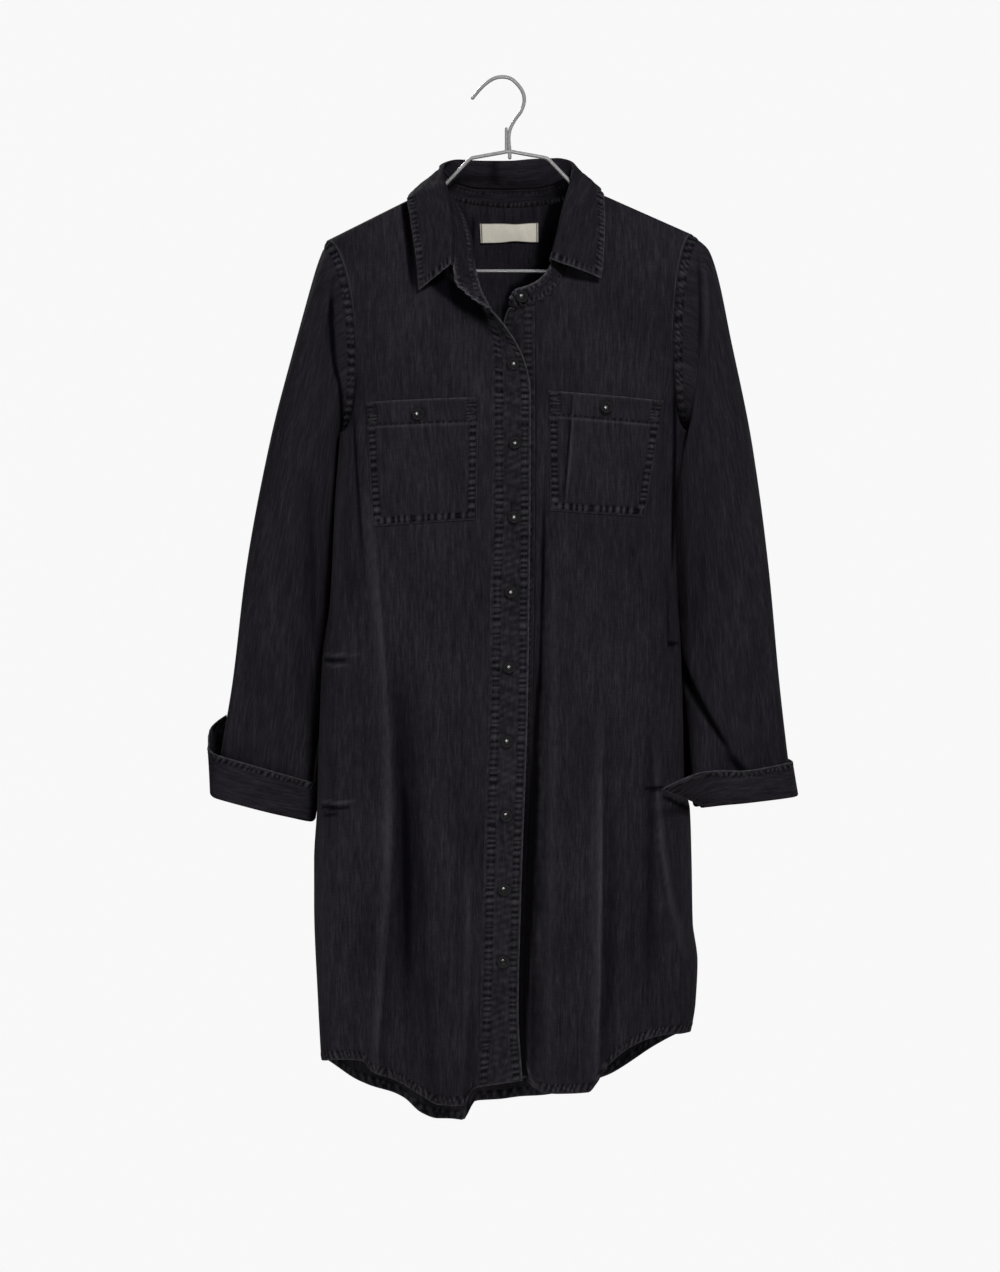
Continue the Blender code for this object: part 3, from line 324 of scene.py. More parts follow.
def front_point(side, across, down):
    """A point of a front's face: across 0 is the armhole and side seam, 1 the neckline and placket seam."""
    across, down = matched(across, down)
    piece, band = "front_" + side, OVERLAP if side == "right" else UNDERLAP

    def seam(z):
        return [smooth(band["seam_z"], band["seam_" + axis], z) for axis in "xy"]

    above, below = panel_shares(down)
    at_neck = station(NECK_SEAM, mix(NECK_SIDE[side], SEAM_STATION[side], np.clip(down / NECK_END, 0, 1)))
    neck_end = station(NECK_SEAM, SEAM_STATION[side])[2]
    chest = smooth([NECK_END, UNDERARM], [neck_end, UNDERARM_POINT[side][1] + CHEST_RISE], down)
    outer = armhole(side, above, FRONT)
    inner = np.where((down < NECK_END)[..., None], at_neck, np.stack([*seam(chest), chest], axis=-1))
    x, _, z = np.moveaxis(mix(outer, inner, across[..., None]), -1, 0)
    # Below the underarm the rows level out and then follow the hem.
    hem_x = mix(SIDE[side]["x"][-1], band["seam_x"][-1], across)
    z = mix(z, smooth(HEM[piece]["x"], HEM[piece]["z"], hem_x), below)
    seam_x, seam_y = seam(z)
    x = np.where(below > 0, mix(smooth(SIDE[side]["z"], SIDE[side]["x"], z), seam_x, across), x)
    inner_y = np.where(below > 0, seam_y, inner[..., 1])
    flat = (SHOULDER_POWER, NECK_POWER, FRONT_POWER, FRONT_POWER)
    power = smooth([0, NECK_END, UNDERARM, 1.01], flat, down)
    y = mix(outer[..., 1], inner_y, oval(across, power))
    chest_swell = CHEST_SWELL * np.sin(np.pi * across) * above * (1 - 0.5 * below)
    y = y - chest_swell - folds(piece, x, z) * np.clip(across / SIDE_SHARE, 0, 1)
    return np.stack([x, y, z], axis=-1)


def back_point(across, down):
    """A point of the back's face: across 0 is the right side seam, 1 the left."""
    across, down = matched(across, down)
    above, below = panel_shares(down)
    edge = mix(*(armhole(side, above, BEHIND) for side in SIDES), across[..., None])
    edge_x, edge_y = edge[..., 0], edge[..., 1]
    (right_x, right_z), (left_x, left_z) = (SHOULDER[side] for side in SIDES)
    neck = station(NECK_SEAM, np.linspace(NECK_SIDE["right"], NECK_SIDE["left"], 61))
    top = np.vstack([(right_x, 0, right_z), neck, (left_x, 0, left_z)])
    top_x = mix(right_x, left_x, across)
    top_y, top_z = (np.interp(top_x, top[:, 0], top[:, k]) for k in (1, 2))
    underarm_z = mix(*(UNDERARM_POINT[side][1] for side in SIDES), across)
    z = mix(top_z, underarm_z, (1 - np.cos(math.pi * above)) / 2)
    hem_x = mix(*(SIDE[side]["x"][-1] for side in SIDES), across)
    z = mix(z, smooth(HEM["back"]["x"], HEM["back"]["z"], hem_x), below)
    low_x = mix(*(smooth(SIDE[side]["z"], SIDE[side]["x"], z) for side in SIDES), across)
    x = np.where(below > 0, low_x, edge_x)
    settled = np.sin(math.pi * np.clip(above, 0, 0.5))
    power = smooth([0, 0.6 * UNDERARM, 1.01], [NECK_POWER, BACK_POWER, BACK_POWER], down)
    middle_y = np.maximum(BACK_MIDDLE_Y * settled, edge_y)
    y = top_y * (1 - settled) + mix(edge_y, middle_y, oval(1 - np.abs(2 * across - 1), power))
    near_side = np.clip((0.5 - np.abs(across - 0.5)) / SIDE_SHARE, 0, 1)
    return np.stack([x, y + folds("back", x, z) * near_side, z], axis=-1)


def sleeve_point(side, angle, along):
    """A point of a sleeve's face: angle 0 is the outer line, 90 degrees the front, 180 the inner line."""
    angle, along = matched(angle, along)
    read = {k: smooth(SLEEVE[side]["along"], column, along) for k, column in SLEEVE[side].items()}
    toward_inner, out = (1 - np.cos(angle)) / 2, np.sin(angle)
    in_front = out >= 0
    bow = np.where(in_front, ARMHOLE_BOW[side], ARMHOLE_BOW_BEHIND) * read["bow"] * np.abs(out)
    x = mix(read["out_x"], read["in_x"], toward_inner) + INWARD[side] * bow
    z = mix(read["out_z"], read["in_z"], toward_inner)
    flat = np.sign(out) * np.abs(out) ** mix(1.0, SLEEVE_FLAT, rise(along, 0.02, 0.2))
    y = read["in_y"] * toward_inner - np.where(in_front, read["front"], read["back"]) * flat
    return np.stack([x, y, z], axis=-1)


def wrist_frame(side, angle):
    """Outward and downward directions of the sleeve's cloth at the wrist."""
    step = 0.01
    round_wrist = sleeve_point(side, angle + step, 1) - sleeve_point(side, angle - step, 1)
    down = unit(sleeve_point(side, angle, 1) - sleeve_point(side, angle, 0.95))
    return unit(np.cross(round_wrist, down)) * -INWARD[side], down


def cuff_point(side, angle, path):
    """A point of a turned-back cuff's face: path 0 is its seam inside, 1 its free edge outside."""
    angle, path = matched(angle, path)
    tab = CUFF[side]
    leg, tilt, lift = (smooth(np.radians(tab["angle"]), tab[k], angle) for k in ("leg", "tilt", "lift"))
    tilt = np.radians(tilt)
    inner = np.clip(path / 0.2, 0, 1)
    bend = np.clip((path - 0.2) / 0.3, 0, 1) * math.pi
    outer = np.clip((path - 0.5) / 0.5, 0, 1) * leg
    offset = -BAND / 2 + CUFF_TURN * (1 - np.cos(bend)) + outer * np.sin(tilt)
    down = SEAM_GAP + (CUFF_DROP - CUFF_TURN - SEAM_GAP) * inner + CUFF_TURN * np.sin(bend)
    down = down - outer * np.cos(tilt) - lift * np.clip((path - 0.2) / 0.5, 0, 1)
    outward, downward = wrist_frame(side, angle)
    return sleeve_point(side, angle, 1) + outward * offset[..., None] + downward * down[..., None]


def stand_point(at, up):
    """A point of the stand: `at` is a row of its tables, up 0 its seam and 1 its upper edge."""
    return mix(station(NECK_SEAM, at), station(STAND_TOP, at), np.asarray(up, float)[..., None])


def fall_point(at, path):
    """A point of the fall: `at` is a row of its tables, path 0 its seam inside, 0.4 its fold, 1 its edge."""
    at, path = matched(at, path)
    seam, neck = (station(tab, at + FALL_STATIONS[0]) for tab in (STAND_TOP, NECK_SEAM))
    roll, edge = station(FALL_ROLL, at), station(FALL_EDGE, at)
    up = unit(seam - neck)
    seam = seam + up * 3 * SEAM_GAP
    climb, drop = (np.linalg.norm(v, axis=-1, keepdims=True) for v in (roll - seam, edge - roll))
    over = unit(edge - seam) * (0.8 * np.minimum(climb, drop) + 3)
    path = path[..., None]
    rising = hermite(path / FALL_FOLD, seam, up * climb, roll, over)
    falling = hermite((path - FALL_FOLD) / (1 - FALL_FOLD), roll, over, edge, edge - roll + FALL_SAG)
    return np.where(path < FALL_FOLD, rising, falling)


def band_point(tab, across, down):
    """A point of a button band: across 0 is its seam, 1 its folded edge; down is a row of its table."""
    across, down = matched(across, down)
    return mix(station(tab, down, "seam_"), station(tab, down, "edge_"), across[..., None])


def grid_normals(points, round_columns=False):
    """The direction across a grid's face, from its rows and columns."""
    if round_columns:
        around = np.roll(points, -1, axis=1) - np.roll(points, 1, axis=1)
    else:
        around = np.gradient(points, axis=1)
    return unit(np.cross(around, np.gradient(points, axis=0)))


def facing(normals, probe, outward):
    """The normals, turned so that the one at the probe looks outward."""
    return normals if np.dot(normals[probe], outward) > 0 else -normals


def lifted(point, x, z, start):
    """The panel's points at x, z and its normals there, found from its across and down shares."""
    across, down = (np.full(np.shape(x), value) for value in start)
    step = 1e-3
    for _ in range(12):
        here = point(across, down)
        by_across = (point(across + step, down) - here) / step
        by_down = (point(across, down + step) - here) / step
        miss_x, miss_z = x - here[..., 0], z - here[..., 2]
        size = by_across[..., 0] * by_down[..., 2] - by_across[..., 2] * by_down[..., 0]
        across = np.clip(across + (miss_x * by_down[..., 2] - miss_z * by_down[..., 0]) / size, 0.01, 0.99)
        down = np.clip(down + (miss_z * by_across[..., 0] - miss_x * by_across[..., 2]) / size, 0.01, 0.98)
    here = point(across, down)
    return here, unit(np.cross(point(across + step, down) - here, point(across, down + step) - here))


def rounded_loop():
    """The hanger's arms and bar, with each corner turned on its bend radius."""
    corners = np.stack([HANGER_LOOP["x"], 0 * HANGER_LOOP["x"], HANGER_LOOP["z"]], axis=-1)
    path = []
    for i, corner in enumerate(corners):
        into, out = unit(corner - corners[i - 1]), unit(corners[(i + 1) % len(corners)] - corner)
        angle = math.acos(np.clip(np.dot(into, out), -1, 1))
        cut = HANGER_LOOP["bend"][i] * math.tan(angle / 2)
        start, end = corner - into * cut, corner + out * cut
        for t in np.linspace(0, 1, HANGER_TURN_STEPS):
            path.append((1 - t) ** 2 * start + 2 * t * (1 - t) * corner + t**2 * end)
    return np.array(path)


def smooth_path(values, at):
    """A Catmull-Rom curve through the values, which may turn back, read at fractional rows."""
    padded = np.concatenate([[2 * values[0] - values[1]], values, [2 * values[-1] - values[-2]]])
    i = np.clip(np.floor(at).astype(int), 0, len(values) - 2)
    t = at - i
    a, b, c, d = (padded[i + k] for k in range(4))
    return 0.5 * (2 * b + (c - a) * t + (2 * a - 5 * b + 4 * c - d) * t**2 + (3 * b - a - 3 * c + d) * t**3)


# ---- how the cloth lies beyond part.py: folds and creases ---------------------------------------------
# A row is a stroke: x and z of its three points, its widths to the right and left of its run as seen from
# the front, and its height. In the tone table the last number is tone: above 0 the cloth is paler there, from
# wear and partly painted light; below 0 it is darker, from unfaded folds and bar tacks and largely painted
# shade in hollows, gaps and under lifted edges.
FADE_AND_SHADE = {
    "front_right": numbers("""
        -181 -420 -184 -740 -178 -990 20 20 0.12, -143 -345 -140 -400 -133 -505 3 3 -1.1,
        -158 -340 -162 -430 -170 -560 12 14 0.14, -130 -420 -117 -540 -109 -660 14 3 0.2,
        -109 -640 -105 -770 -112 -905 14 3 0.24, -111 -890 -116 -950 -120 -1010 12 3 0.2,
        -104 -560 -99 -720 -99 -960 5 18 -0.3, -96 -600 -90 -790 -88 -1010 13 26 -0.62,
        -92 -720 -90 -820 -90 -930 5 9 -0.45, -174 -596.5 -163 -597.5 -150 -597.5 3 3 -2.4,
        -174 -602.5 -160 -603 -148 -602.5 2.4 2.4 0.3, -174 -591.5 -160 -592 -134 -591 2.4 2.4 0.3,
        -177 -746 -163 -747 -147 -746.5 3 3 -2.4, -175 -754 -167 -754.5 -158 -754 2.4 2.4 -1.4,
        -177 -740.5 -160 -741.5 -138 -740.5 2.4 2.4 0.35, -72 -900 -64 -980 -60 -1040 10 10 -0.25,
        -26 -800 -28 -900 -34 -1040 6 5 0.14, -96 -116 -90.5 -155 -82.5 -228 5 6 -2.2
    """),
    "pen_slot": numbers("""
        78.3 -322 74 -385 68.7 -444 1.9 1.9 -1.3, 80.9 -322 76.6 -385 71.3 -444 1.7 1.7 0.3
    """),
    # the shade below the peeled end of the stand
    "under_stand": numbers("-66 -205 -38 -229 0 -252 12 12 -3.6, -60 -206 -46 -219 -28 -233 12 9 -2"),
    # shade on the back's inner face, seen through the neck
    "inside": numbers("""
        73 -96 57.5 -149 47 -184 12 12 -2.6, 57 -172 40 -198 13 -216 9 9 -2.4,
        22 -204 13 -224 11 -252 6 7 -2.2, -24 -134 -24 -160 -26 -190 3 3 -1.3,
        -36 -110 -34 -150 -34 -185 12 12 -0.35
    """),
    "front_left": numbers("""
        50 -420 48.5 -540 45 -650 4 2.6 -1.3, 47 -600 42 -680 38 -800 6 3 -1.7,
        43 -690 37.5 -810 26.5 -1040 10 5 -2.4, 36 -760 30 -910 24 -1040 10 5 -2.2,
        27 -985 33 -1013 46 -1035 2.5 2.5 0.6, 58 -470 56 -700 50 -1020 6 12 0.07,
        109 -640 105.5 -800 101 -1030 12 4 0.16, 107 -700 106.5 -880 102.5 -1032 3 2 0.3,
        110 -690 110 -880 106 -1030 2 9 -0.3, 120 -740 118 -880 112 -1010 10 12 -0.42,
        158 -640 158 -800 156 -935 9 7 -0.65, 164 -675 171.5 -799 196 -905 5 7 0.2,
        174 -500 176 -560 176 -590 2.5 2.5 -0.7, 175 -579.5 180 -580.5 187 -580 3 3 -2.4,
        152 -727 160 -727.5 172 -726.5 3 3 -2.4, 182 -322 182.5 -395 180 -510 3 3 -1.9,
        170 -735 188 -744.5 206 -752 3.4 3.4 -2.6, 192 -560 196 -700 202 -860 12 12 0.05
    """),
    "back": numbers("""
        -84 -520 -80 -760 -78 -1050 9 9 -0.4, 74 -560 68 -800 62 -1035 10 8 -0.4,
        -118 -330 -112 -560 -108 -820 9 6 0.1, 114 -400 106 -700 99 -1030 9 8 0.1
    """),
    "sleeve_right": numbers("""
        -188 -405 -187 -490 -184 -600 6 6 -0.45, -164 -200 -168 -235 -173 -275 3 3 -0.6,
        -166 -226 -166 -266 -161 -312 4 4 -2.2, -162 -300 -156.8 -342 -161.5 -384 3 3.5 -2.2,
        -166 -400 -169 -520 -178 -700 9 9 0.1, -250 -420 -262 -560 -274 -690 14 14 0.08
    """),
    "sleeve_left": numbers("""
        207 -180 209 -235 207 -300 3 3 -0.8, 213 -190 216 -235 214 -290 4 4 0.12,
        186.5 -545 194 -603 240.5 -690 4.4 3.4 -2.6, 180 -400 181 -480 186 -556 2.4 2.4 -0.8,
        250 -300 268 -440 284 -640 16 16 0.05, 236 -688 248 -705 262 -716 8 8 -1.1
    """),
    "sleeve_right_back": numbers("-196 -420 -206 -520 -214 -620 6 6 -0.4"),
    "sleeve_left_back": numbers("220 -420 226 -520 232 -620 6 6 -0.4"),
}
CREASES = {
    "front_right": numbers("""
        -139 -330 -134 -375 -124 -455 9 6 1.6, -127 -440 -116 -548 -108 -660 14 4 2.9,
        -109 -640 -105 -770 -111 -900 15 4 3.3, -110 -875 -115 -945 -120 -1008 14 4 3.2,
        -92 -620 -86 -750 -76 -905 9 12 -2, -80 -735 -76 -830 -73 -930 6 7 -1.4,
        -24 -770 -25 -880 -32 -1040 8 5 1.5, -66 -250 -76 -300 -92 -345 12 12 -0.9,
        -150 -380 -148 -430 -151 -500 6 6 0.8, -158 -520 -160 -640 -164 -760 9 7 0.9,
        -58 -470 -55 -560 -58 -650 10 14 -0.8, -36 -640 -40 -740 -44 -860 9 9 0.9,
        -152 -700 -150 -800 -154 -930 10 8 -0.9, -60 -900 -58 -970 -60 -1040 8 6 1.2,
        -30 -250 -50 -262 -72 -268 8 8 -0.8
    """),
    "front_left": numbers("""
        112 -640 108 -820 102 -1030 12 4 2.8, 124 -740 121 -880 114 -1010 7 10 -1.7,
        163 -730 161 -840 159 -935 8 6 -2.4, 164 -675 171.5 -799 196 -905 6 8 2.6,
        179 -372 180 -440 178 -520 4 5 1.5, 186 -385 186 -450 184 -525 4 4 -1.4,
        170 -380 170 -450 172 -540 6 6 -1, 68 -470 74 -560 76 -660 14 16 -0.9,
        84 -820 82 -930 76 -1034 9 7 1.2, 60 -420 57 -700 52 -1030 7 12 2.2,
        140 -560 138 -650 136 -760 12 10 -0.8, 118 -250 128 -300 140 -345 12 12 -0.7,
        150 -960 146 -985 140 -996 8 6 1, 182 -600 180 -680 178 -740 8 6 0.9,
        49.5 -400 46 -560 42 -700 8 5 -4, 42 -640 37 -850 34 -1040 12 7 -6.5
    """),
    "back": numbers("""
        -118 -330 -112 -560 -108 -820 10 7 1.8, -50 -440 -48 -700 -47 -1060 9 12 2,
        36 -330 30 -640 24 -1040 12 8 1.8, 114 -400 106 -700 99 -1030 9 8 1.8,
        -84 -520 -80 -760 -78 -1050 9 9 -1.8, 74 -560 68 -800 62 -1035 10 8 -1.9,
        -6 -620 -8 -820 -12 -1050 10 10 -1.5, 150 -620 150 -800 148 -990 9 7 1.3,
        -150 -560 -150 -760 -148 -1000 8 7 1.2, -150 -230 -128 -270 -104 -330 12 12 1.1,
        172 -240 150 -275 124 -330 12 12 1.1, -100 -180 -40 -196 16 -198 10 12 -0.8,
        -150 -380 -120 -420 -80 -440 8 9 -0.9, 170 -390 140 -425 96 -440 9 8 -0.9,
        -60 -270 -10 -286 40 -284 14 14 0.7
    """),
    # creases of its front half
    "sleeve_right": numbers("""
        -188 -400 -187 -490 -184 -585 10 12 -2.4, -164 -196 -168 -235 -174 -275 5 5 -1.6,
        -166 -230 -166 -266 -161 -312 4 5 -2.4, -162 -300 -156.8 -342 -161.5 -376 4 5 -2.8,
        -172 -205 -178 -250 -186 -300 6 5 1.3, -214 -300 -216 -420 -226 -540 12 12 1,
        -240 -520 -234 -600 -226 -690 12 10 -1, -200 -560 -206 -640 -208 -730 9 8 1.2,
        -262 -640 -246 -668 -222 -682 7 8 -1.1, -250 -700 -232 -716 -208 -722 7 6 1,
        -176 -380 -178 -430 -174 -480 5 6 1.4, -204 -400 -196 -440 -180 -462 7 7 -1
    """),
    "sleeve_left": numbers("""
        206 -186 209 -235 207 -292 4 4 -2, 214 -184 217 -235 215 -296 5 6 1.6,
        190 -556 202 -614 248 -698 5 22 6, 184 -545 192 -604 239 -692 9 4 -5,
        196 -420 198 -500 196 -590 6 9 1.4, 240 -330 250 -450 262 -560 14 12 0.9,
        276 -560 270 -620 274 -700 9 9 -1, 222 -440 224 -530 236 -620 10 12 -1,
        290 -640 276 -664 258 -676 7 7 1, 292 -690 280 -702 264 -708 5 6 -1,
        206 -340 204 -380 198 -410 6 5 -1.4
    """),
    "sleeve_right_back": numbers("""
        -170 -215 -184 -280 -196 -350 7 7 1.5, -196 -420 -206 -520 -214 -620 10 9 -1.3,
        -228 -380 -238 -500 -246 -620 12 10 1.2, -256 -600 -238 -634 -214 -648 8 8 -1.4,
        -262 -660 -246 -694 -218 -706 7 8 1.2, -178 -400 -196 -434 -214 -446 7 7 -1.3
    """),
    "sleeve_left_back": numbers("""
        206 -212 216 -280 226 -350 7 7 1.5, 220 -420 226 -520 232 -620 10 9 -1.3,
        254 -380 262 -500 270 -620 12 10 1.2, 282 -600 262 -632 236 -648 8 8 -1.4,
        286 -664 268 -694 240 -704 7 8 1.2, 206 -398 222 -434 242 -446 7 7 -1.3
    """),
}


STROKE_STEPS = 16
GROOVE_WIDTH, GROOVE_DEPTH = 1.25, 0.25         # of the line that a row of stitches presses into the cloth
# Seeded low waves all over a cloth: their width, height and share.
CLOTH_WAVES = ((74, 300, 1.1), (38, 150, 0.55), (19, 60, 0.22), (10, 24, 0.10))


def bend(a, b, c):
    """Points along a stroke, through its three points."""
    t = np.linspace(0, 1, STROKE_STEPS + 1)[:, None]
    return (1 - t) ** 2 * a + 2 * t * (1 - t) * (2 * b - (a + c) / 2) + t**2 * c


def creases(strokes, x, z):
    """The sum of the listed strokes at each x, z."""
    out = np.zeros(x.shape)
    for *corners, right, left, height in strokes:
        path, widest = bend(*np.reshape(corners, (3, 2))), max(right, left)
        low, high = path.min(axis=0) - widest, path.max(axis=0) + widest
        near = (x > low[0]) & (x < high[0]) & (z > low[1]) & (z < high[1])
        if not near.any():
            continue
        points = np.stack([x[near], z[near]], axis=-1)[:, None]
        start, step = path[:-1], np.diff(path, axis=0)
        along = np.clip(np.sum((points - start) * step, axis=-1) / np.sum(step**2, axis=-1), 0, 1)
        miss = points - (start + along[..., None] * step)
        away = np.linalg.norm(miss, axis=-1)
        nearest = np.argmin(away, axis=1)
        pick = np.arange(len(nearest))
        share = (nearest + along[pick, nearest]) / len(step)
        miss, step, away = miss[pick, nearest], step[nearest], away[pick, nearest]
        side = np.sign(miss[:, 1] * step[:, 0] - miss[:, 0] * step[:, 1])
        swell = np.sin(math.pi * np.clip(share, 0.0, 1.0)) ** 0.6
        out[near] += height * bump(side * away, right, left) * swell
    return out


def undulation(seed, x, z, waves=CLOTH_WAVES):
    """The sum of seeded low waves at each x, z."""
    rng = np.random.default_rng(seed)
    out = np.zeros(np.shape(x))
    for width, height, share in waves:
        for _ in range(4):
            across, down = width * rng.uniform(0.75, 1.35), height * rng.uniform(0.75, 1.35)
            lean = rng.choice([-1, 1])
            out = out + share * np.sin(2 * math.pi * (x / across + lean * z / down + rng.random()))
    return out / 4


def shifted(point, y):
    """The points, moved along Y."""
    return point + y[..., None] * np.array((0, 1, 0))


def from_side(across):
    """The share of a panel's width to its nearer side seam."""
    return 0.5 - np.abs(across - 0.5)


def front_cloth(side, across, down):
    """The front's cloth as it is seen, with its creases."""
    point = front_point(side, across, down)
    x, z = point[..., 0], point[..., 2]
    ease = rise(across, 0.0, 0.09) * (1 - 0.7 * rise(across, 0.93, 1.0))
    seed = {"right": 11, "left": 12}[side]
    fine = creases(CREASES["front_" + side], x, z) + undulation(seed, x, z)
    return shifted(point, -SEAM_GAP - ease * fine)


def back_cloth(across, down):
    """The same for the back, which keeps forward below the collar to leave the stand smoothly."""
    point = back_point(across, down)
    x, z = point[..., 0], point[..., 2]
    above = down / UNDERARM
    hang = back_point(across, 0 * above)[..., 1] - point[..., 1]
    held = np.minimum(hang, 0) * (1 - rise(above, 0.0, 0.34)) * rise(from_side(across), 0.2, 0.32)
    ease = rise(from_side(across), 0.0, 0.05) * rise(down, 0.0, 0.05)
    fine = creases(CREASES["back"], x, z) + undulation(13, x, z)
    return shifted(point, held + SEAM_GAP + ease * fine)


# how far a sleeve's inner back is tucked in at these places along it, and its inner front is pressed in
TUCK_PLACES = (0, 0.04, 0.12, 0.35, 0.66, 0.92, 1.0)
SLEEVE_TUCK = {"right": (0, 7, 7, 5, 3, 9, 9), "left": (0, 7, 7, 5, 4, 11, 11)}
SLEEVE_PRESS = {"right": 0.5, "left": 3.0}


def sleeve_cloth(side, angle, along):
    """The same for a sleeve, whose lower part lies up against the body behind."""
    point = sleeve_point(side, angle, along)
    x, z = point[..., 0], point[..., 2]
    out, toward_inner = np.sin(angle), (1 - np.cos(angle)) / 2
    front, behind = rise(out, 0.02, 0.35), rise(-out, 0.02, 0.35)
    seed = {"right": 21, "left": 23}[side]
    waves = undulation(seed, np.where(out > 0, x, -x), z) * np.sqrt(np.abs(out)) * np.sign(out)
    name = "sleeve_" + side
    fine = front * creases(CREASES[name], x, z) - behind * creases(CREASES[name + "_back"], x, z)
    fine = (fine + waves) * rise(along, 0.0, 0.05) * (1 - rise(along, 0.975, 1.0))
    near_body = rise(toward_inner, 0.45, 0.95) * rise(along, 0.015, 0.1)
    pressed = near_body * front * SLEEVE_PRESS[side] * (1 - rise(along, 0.3, 0.7))
    inner_back = rise(-out, 0.0, 0.3) * rise(toward_inner, 0.7, 0.93)
    tucked = inner_back * smooth(TUCK_PLACES, SLEEVE_TUCK[side], along)
    return point + np.stack([INWARD[side] * (pressed + tucked), -fine - 0.9 * front * pressed, 0 * x], axis=-1)


# ---- meshes ----------------------------------------------------------------------------------------
def linked(name, data):
    """A new object of this data, in the scene."""
    made = bpy.data.objects.new(name, data)
    bpy.context.scene.collection.objects.link(made)
    return made


def mesh_object(name, points, faces, look, node=None, uv=None, fields=None):
    """One mesh piece that rides on the dress: faces are arrays of corners, one array a face size."""
    mesh = bpy.data.meshes.new(name)
    corners = np.concatenate([f.ravel() for f in faces]).astype(np.int32)
    sizes = np.concatenate([np.full(len(f), f.shape[1]) for f in faces])
    mesh.vertices.add(len(points))
    mesh.vertices.foreach_set("co", (np.asarray(points, float) * MM).ravel().astype(np.float32))
    mesh.loops.add(len(corners))
    mesh.loops.foreach_set("vertex_index", corners)
    mesh.polygons.add(len(sizes))
    mesh.polygons.foreach_set("loop_start", np.concatenate([[0], np.cumsum(sizes)[:-1]]).astype(np.int32))
    mesh.update(calc_edges=True)
    if uv is not None:
        mesh.uv_layers.new(name="cloth").data.foreach_set("uv", (uv * MM).ravel().astype(np.float32))
    for key, values in (fields or {}).items():
        made = mesh.attributes.new(key, "FLOAT", "POINT")
        made.data.foreach_set("value", np.asarray(values, np.float32).ravel())
    mesh.materials.append(look)
    mesh.shade_smooth()
    piece = linked(name, mesh)
    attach(piece, "root")
    if node:
        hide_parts(node)
    return piece


def travelled(points, axis=0):
    """How far along the axis each point of a line or grid lies."""
    steps = np.linalg.norm(np.diff(points, axis=axis), axis=-1)
    return np.cumsum(np.insert(steps, 0, 0, axis=axis), axis=axis)


def cells(grid):
    """The four corners of each cell of a grid of point numbers."""
    return np.stack([grid[:-1, :-1], grid[:-1, 1:], grid[1:, 1:], grid[1:, :-1]], axis=-1).reshape(-1, 4)


def wall_faces(grid, beyond, closed):
    """A wall's faces from a grid of point numbers; the numbers of its inner face lie beyond."""
    borders = [grid[0], grid[-1, ::-1]] + ([] if closed else [grid[::-1, 0], grid[:, -1]])
    strips = [np.stack([a[:-1], a[:-1] + beyond, a[1:] + beyond, a[1:]], axis=-1) for a in borders]
    return np.concatenate([cells(grid), cells(grid)[:, ::-1] + beyond, *strips])


def turned_faces(rings, sides):
    """The faces between a centre point, rings and a last centre point: quads and triangles."""
    k = np.arange(sides)
    n, ring, last = (k + 1) % sides, 1 + sides * np.arange(rings)[:, None], 1 + sides * rings
    quads = np.stack([ring[:-1] + k, ring[1:] + k, ring[1:] + n, ring[:-1] + n], axis=-1).reshape(-1, 4)
    ends = [(0 * k, 1 + k, 1 + n), (last + 0 * k, last - sides + n, last - sides + k)]
    return quads, np.concatenate([np.stack(end, axis=-1) for end in ends])


def ladder(run, seed, pitch):
    """A seam's puckers along it: -1 in the troughs, 1 on the crests, unevenly spaced."""
    rng = np.random.default_rng(seed)
    phase = run / pitch
    for wave, share in ((23, 0.13), (41, 0.2), (9.7, 0.06)):
        phase = phase + share * np.sin(2 * math.pi * (run / wave + rng.random()))
    swell = 0.80 + 0.20 * np.sin(2 * math.pi * (run / 57 + rng.random()))
    return np.sin(2 * math.pi * phase) * swell


def ridge(distance, width):
    """1 on a line, falling away on both its sides."""
    return np.exp(-((distance / width) ** 2))


def sample(grid, i, j, closed=False):
    """The grid at fractional rows and columns."""
    rows, columns = grid.shape[:2]
    i0 = np.clip(np.floor(i).astype(int), 0, rows - 2)
    j0 = np.floor(j).astype(int)
    j0 = j0 % columns if closed else np.clip(j0, 0, columns - 2)
    j1 = (j0 + 1) % columns
    a, b = (i - i0)[:, None], (j - np.floor(j) if closed else j - j0)[:, None]
    return mix(mix(grid[i0, j0], grid[i0, j1], b), mix(grid[i0 + 1, j0], grid[i0 + 1, j1], b), a)


def grain(cloth, lengthwise=False, origin=0):
    """Cloth coordinates: across from a column, down each row's own run; a closed piece has one column more."""
    mid = np.hstack([cloth.mid, cloth.mid[:, :1]]) if cloth.closed else cloth.mid
    across, down = travelled(mid, 1), travelled(mid)
    across = across - across[:, origin:origin + 1]
    return np.stack([down, across] if lengthwise else [across, -down], axis=-1)


def upright_grain(mid, side, round_side):
    """Cloth coordinates of a body panel: its warp hangs upright, and runs on round the sides it turns at."""
    x, z = mid[..., 0], mid[..., 2]
    return np.stack([x + side * np.clip(round_side, 0, 80) * rise(-z, 300, 380), z], axis=-1)


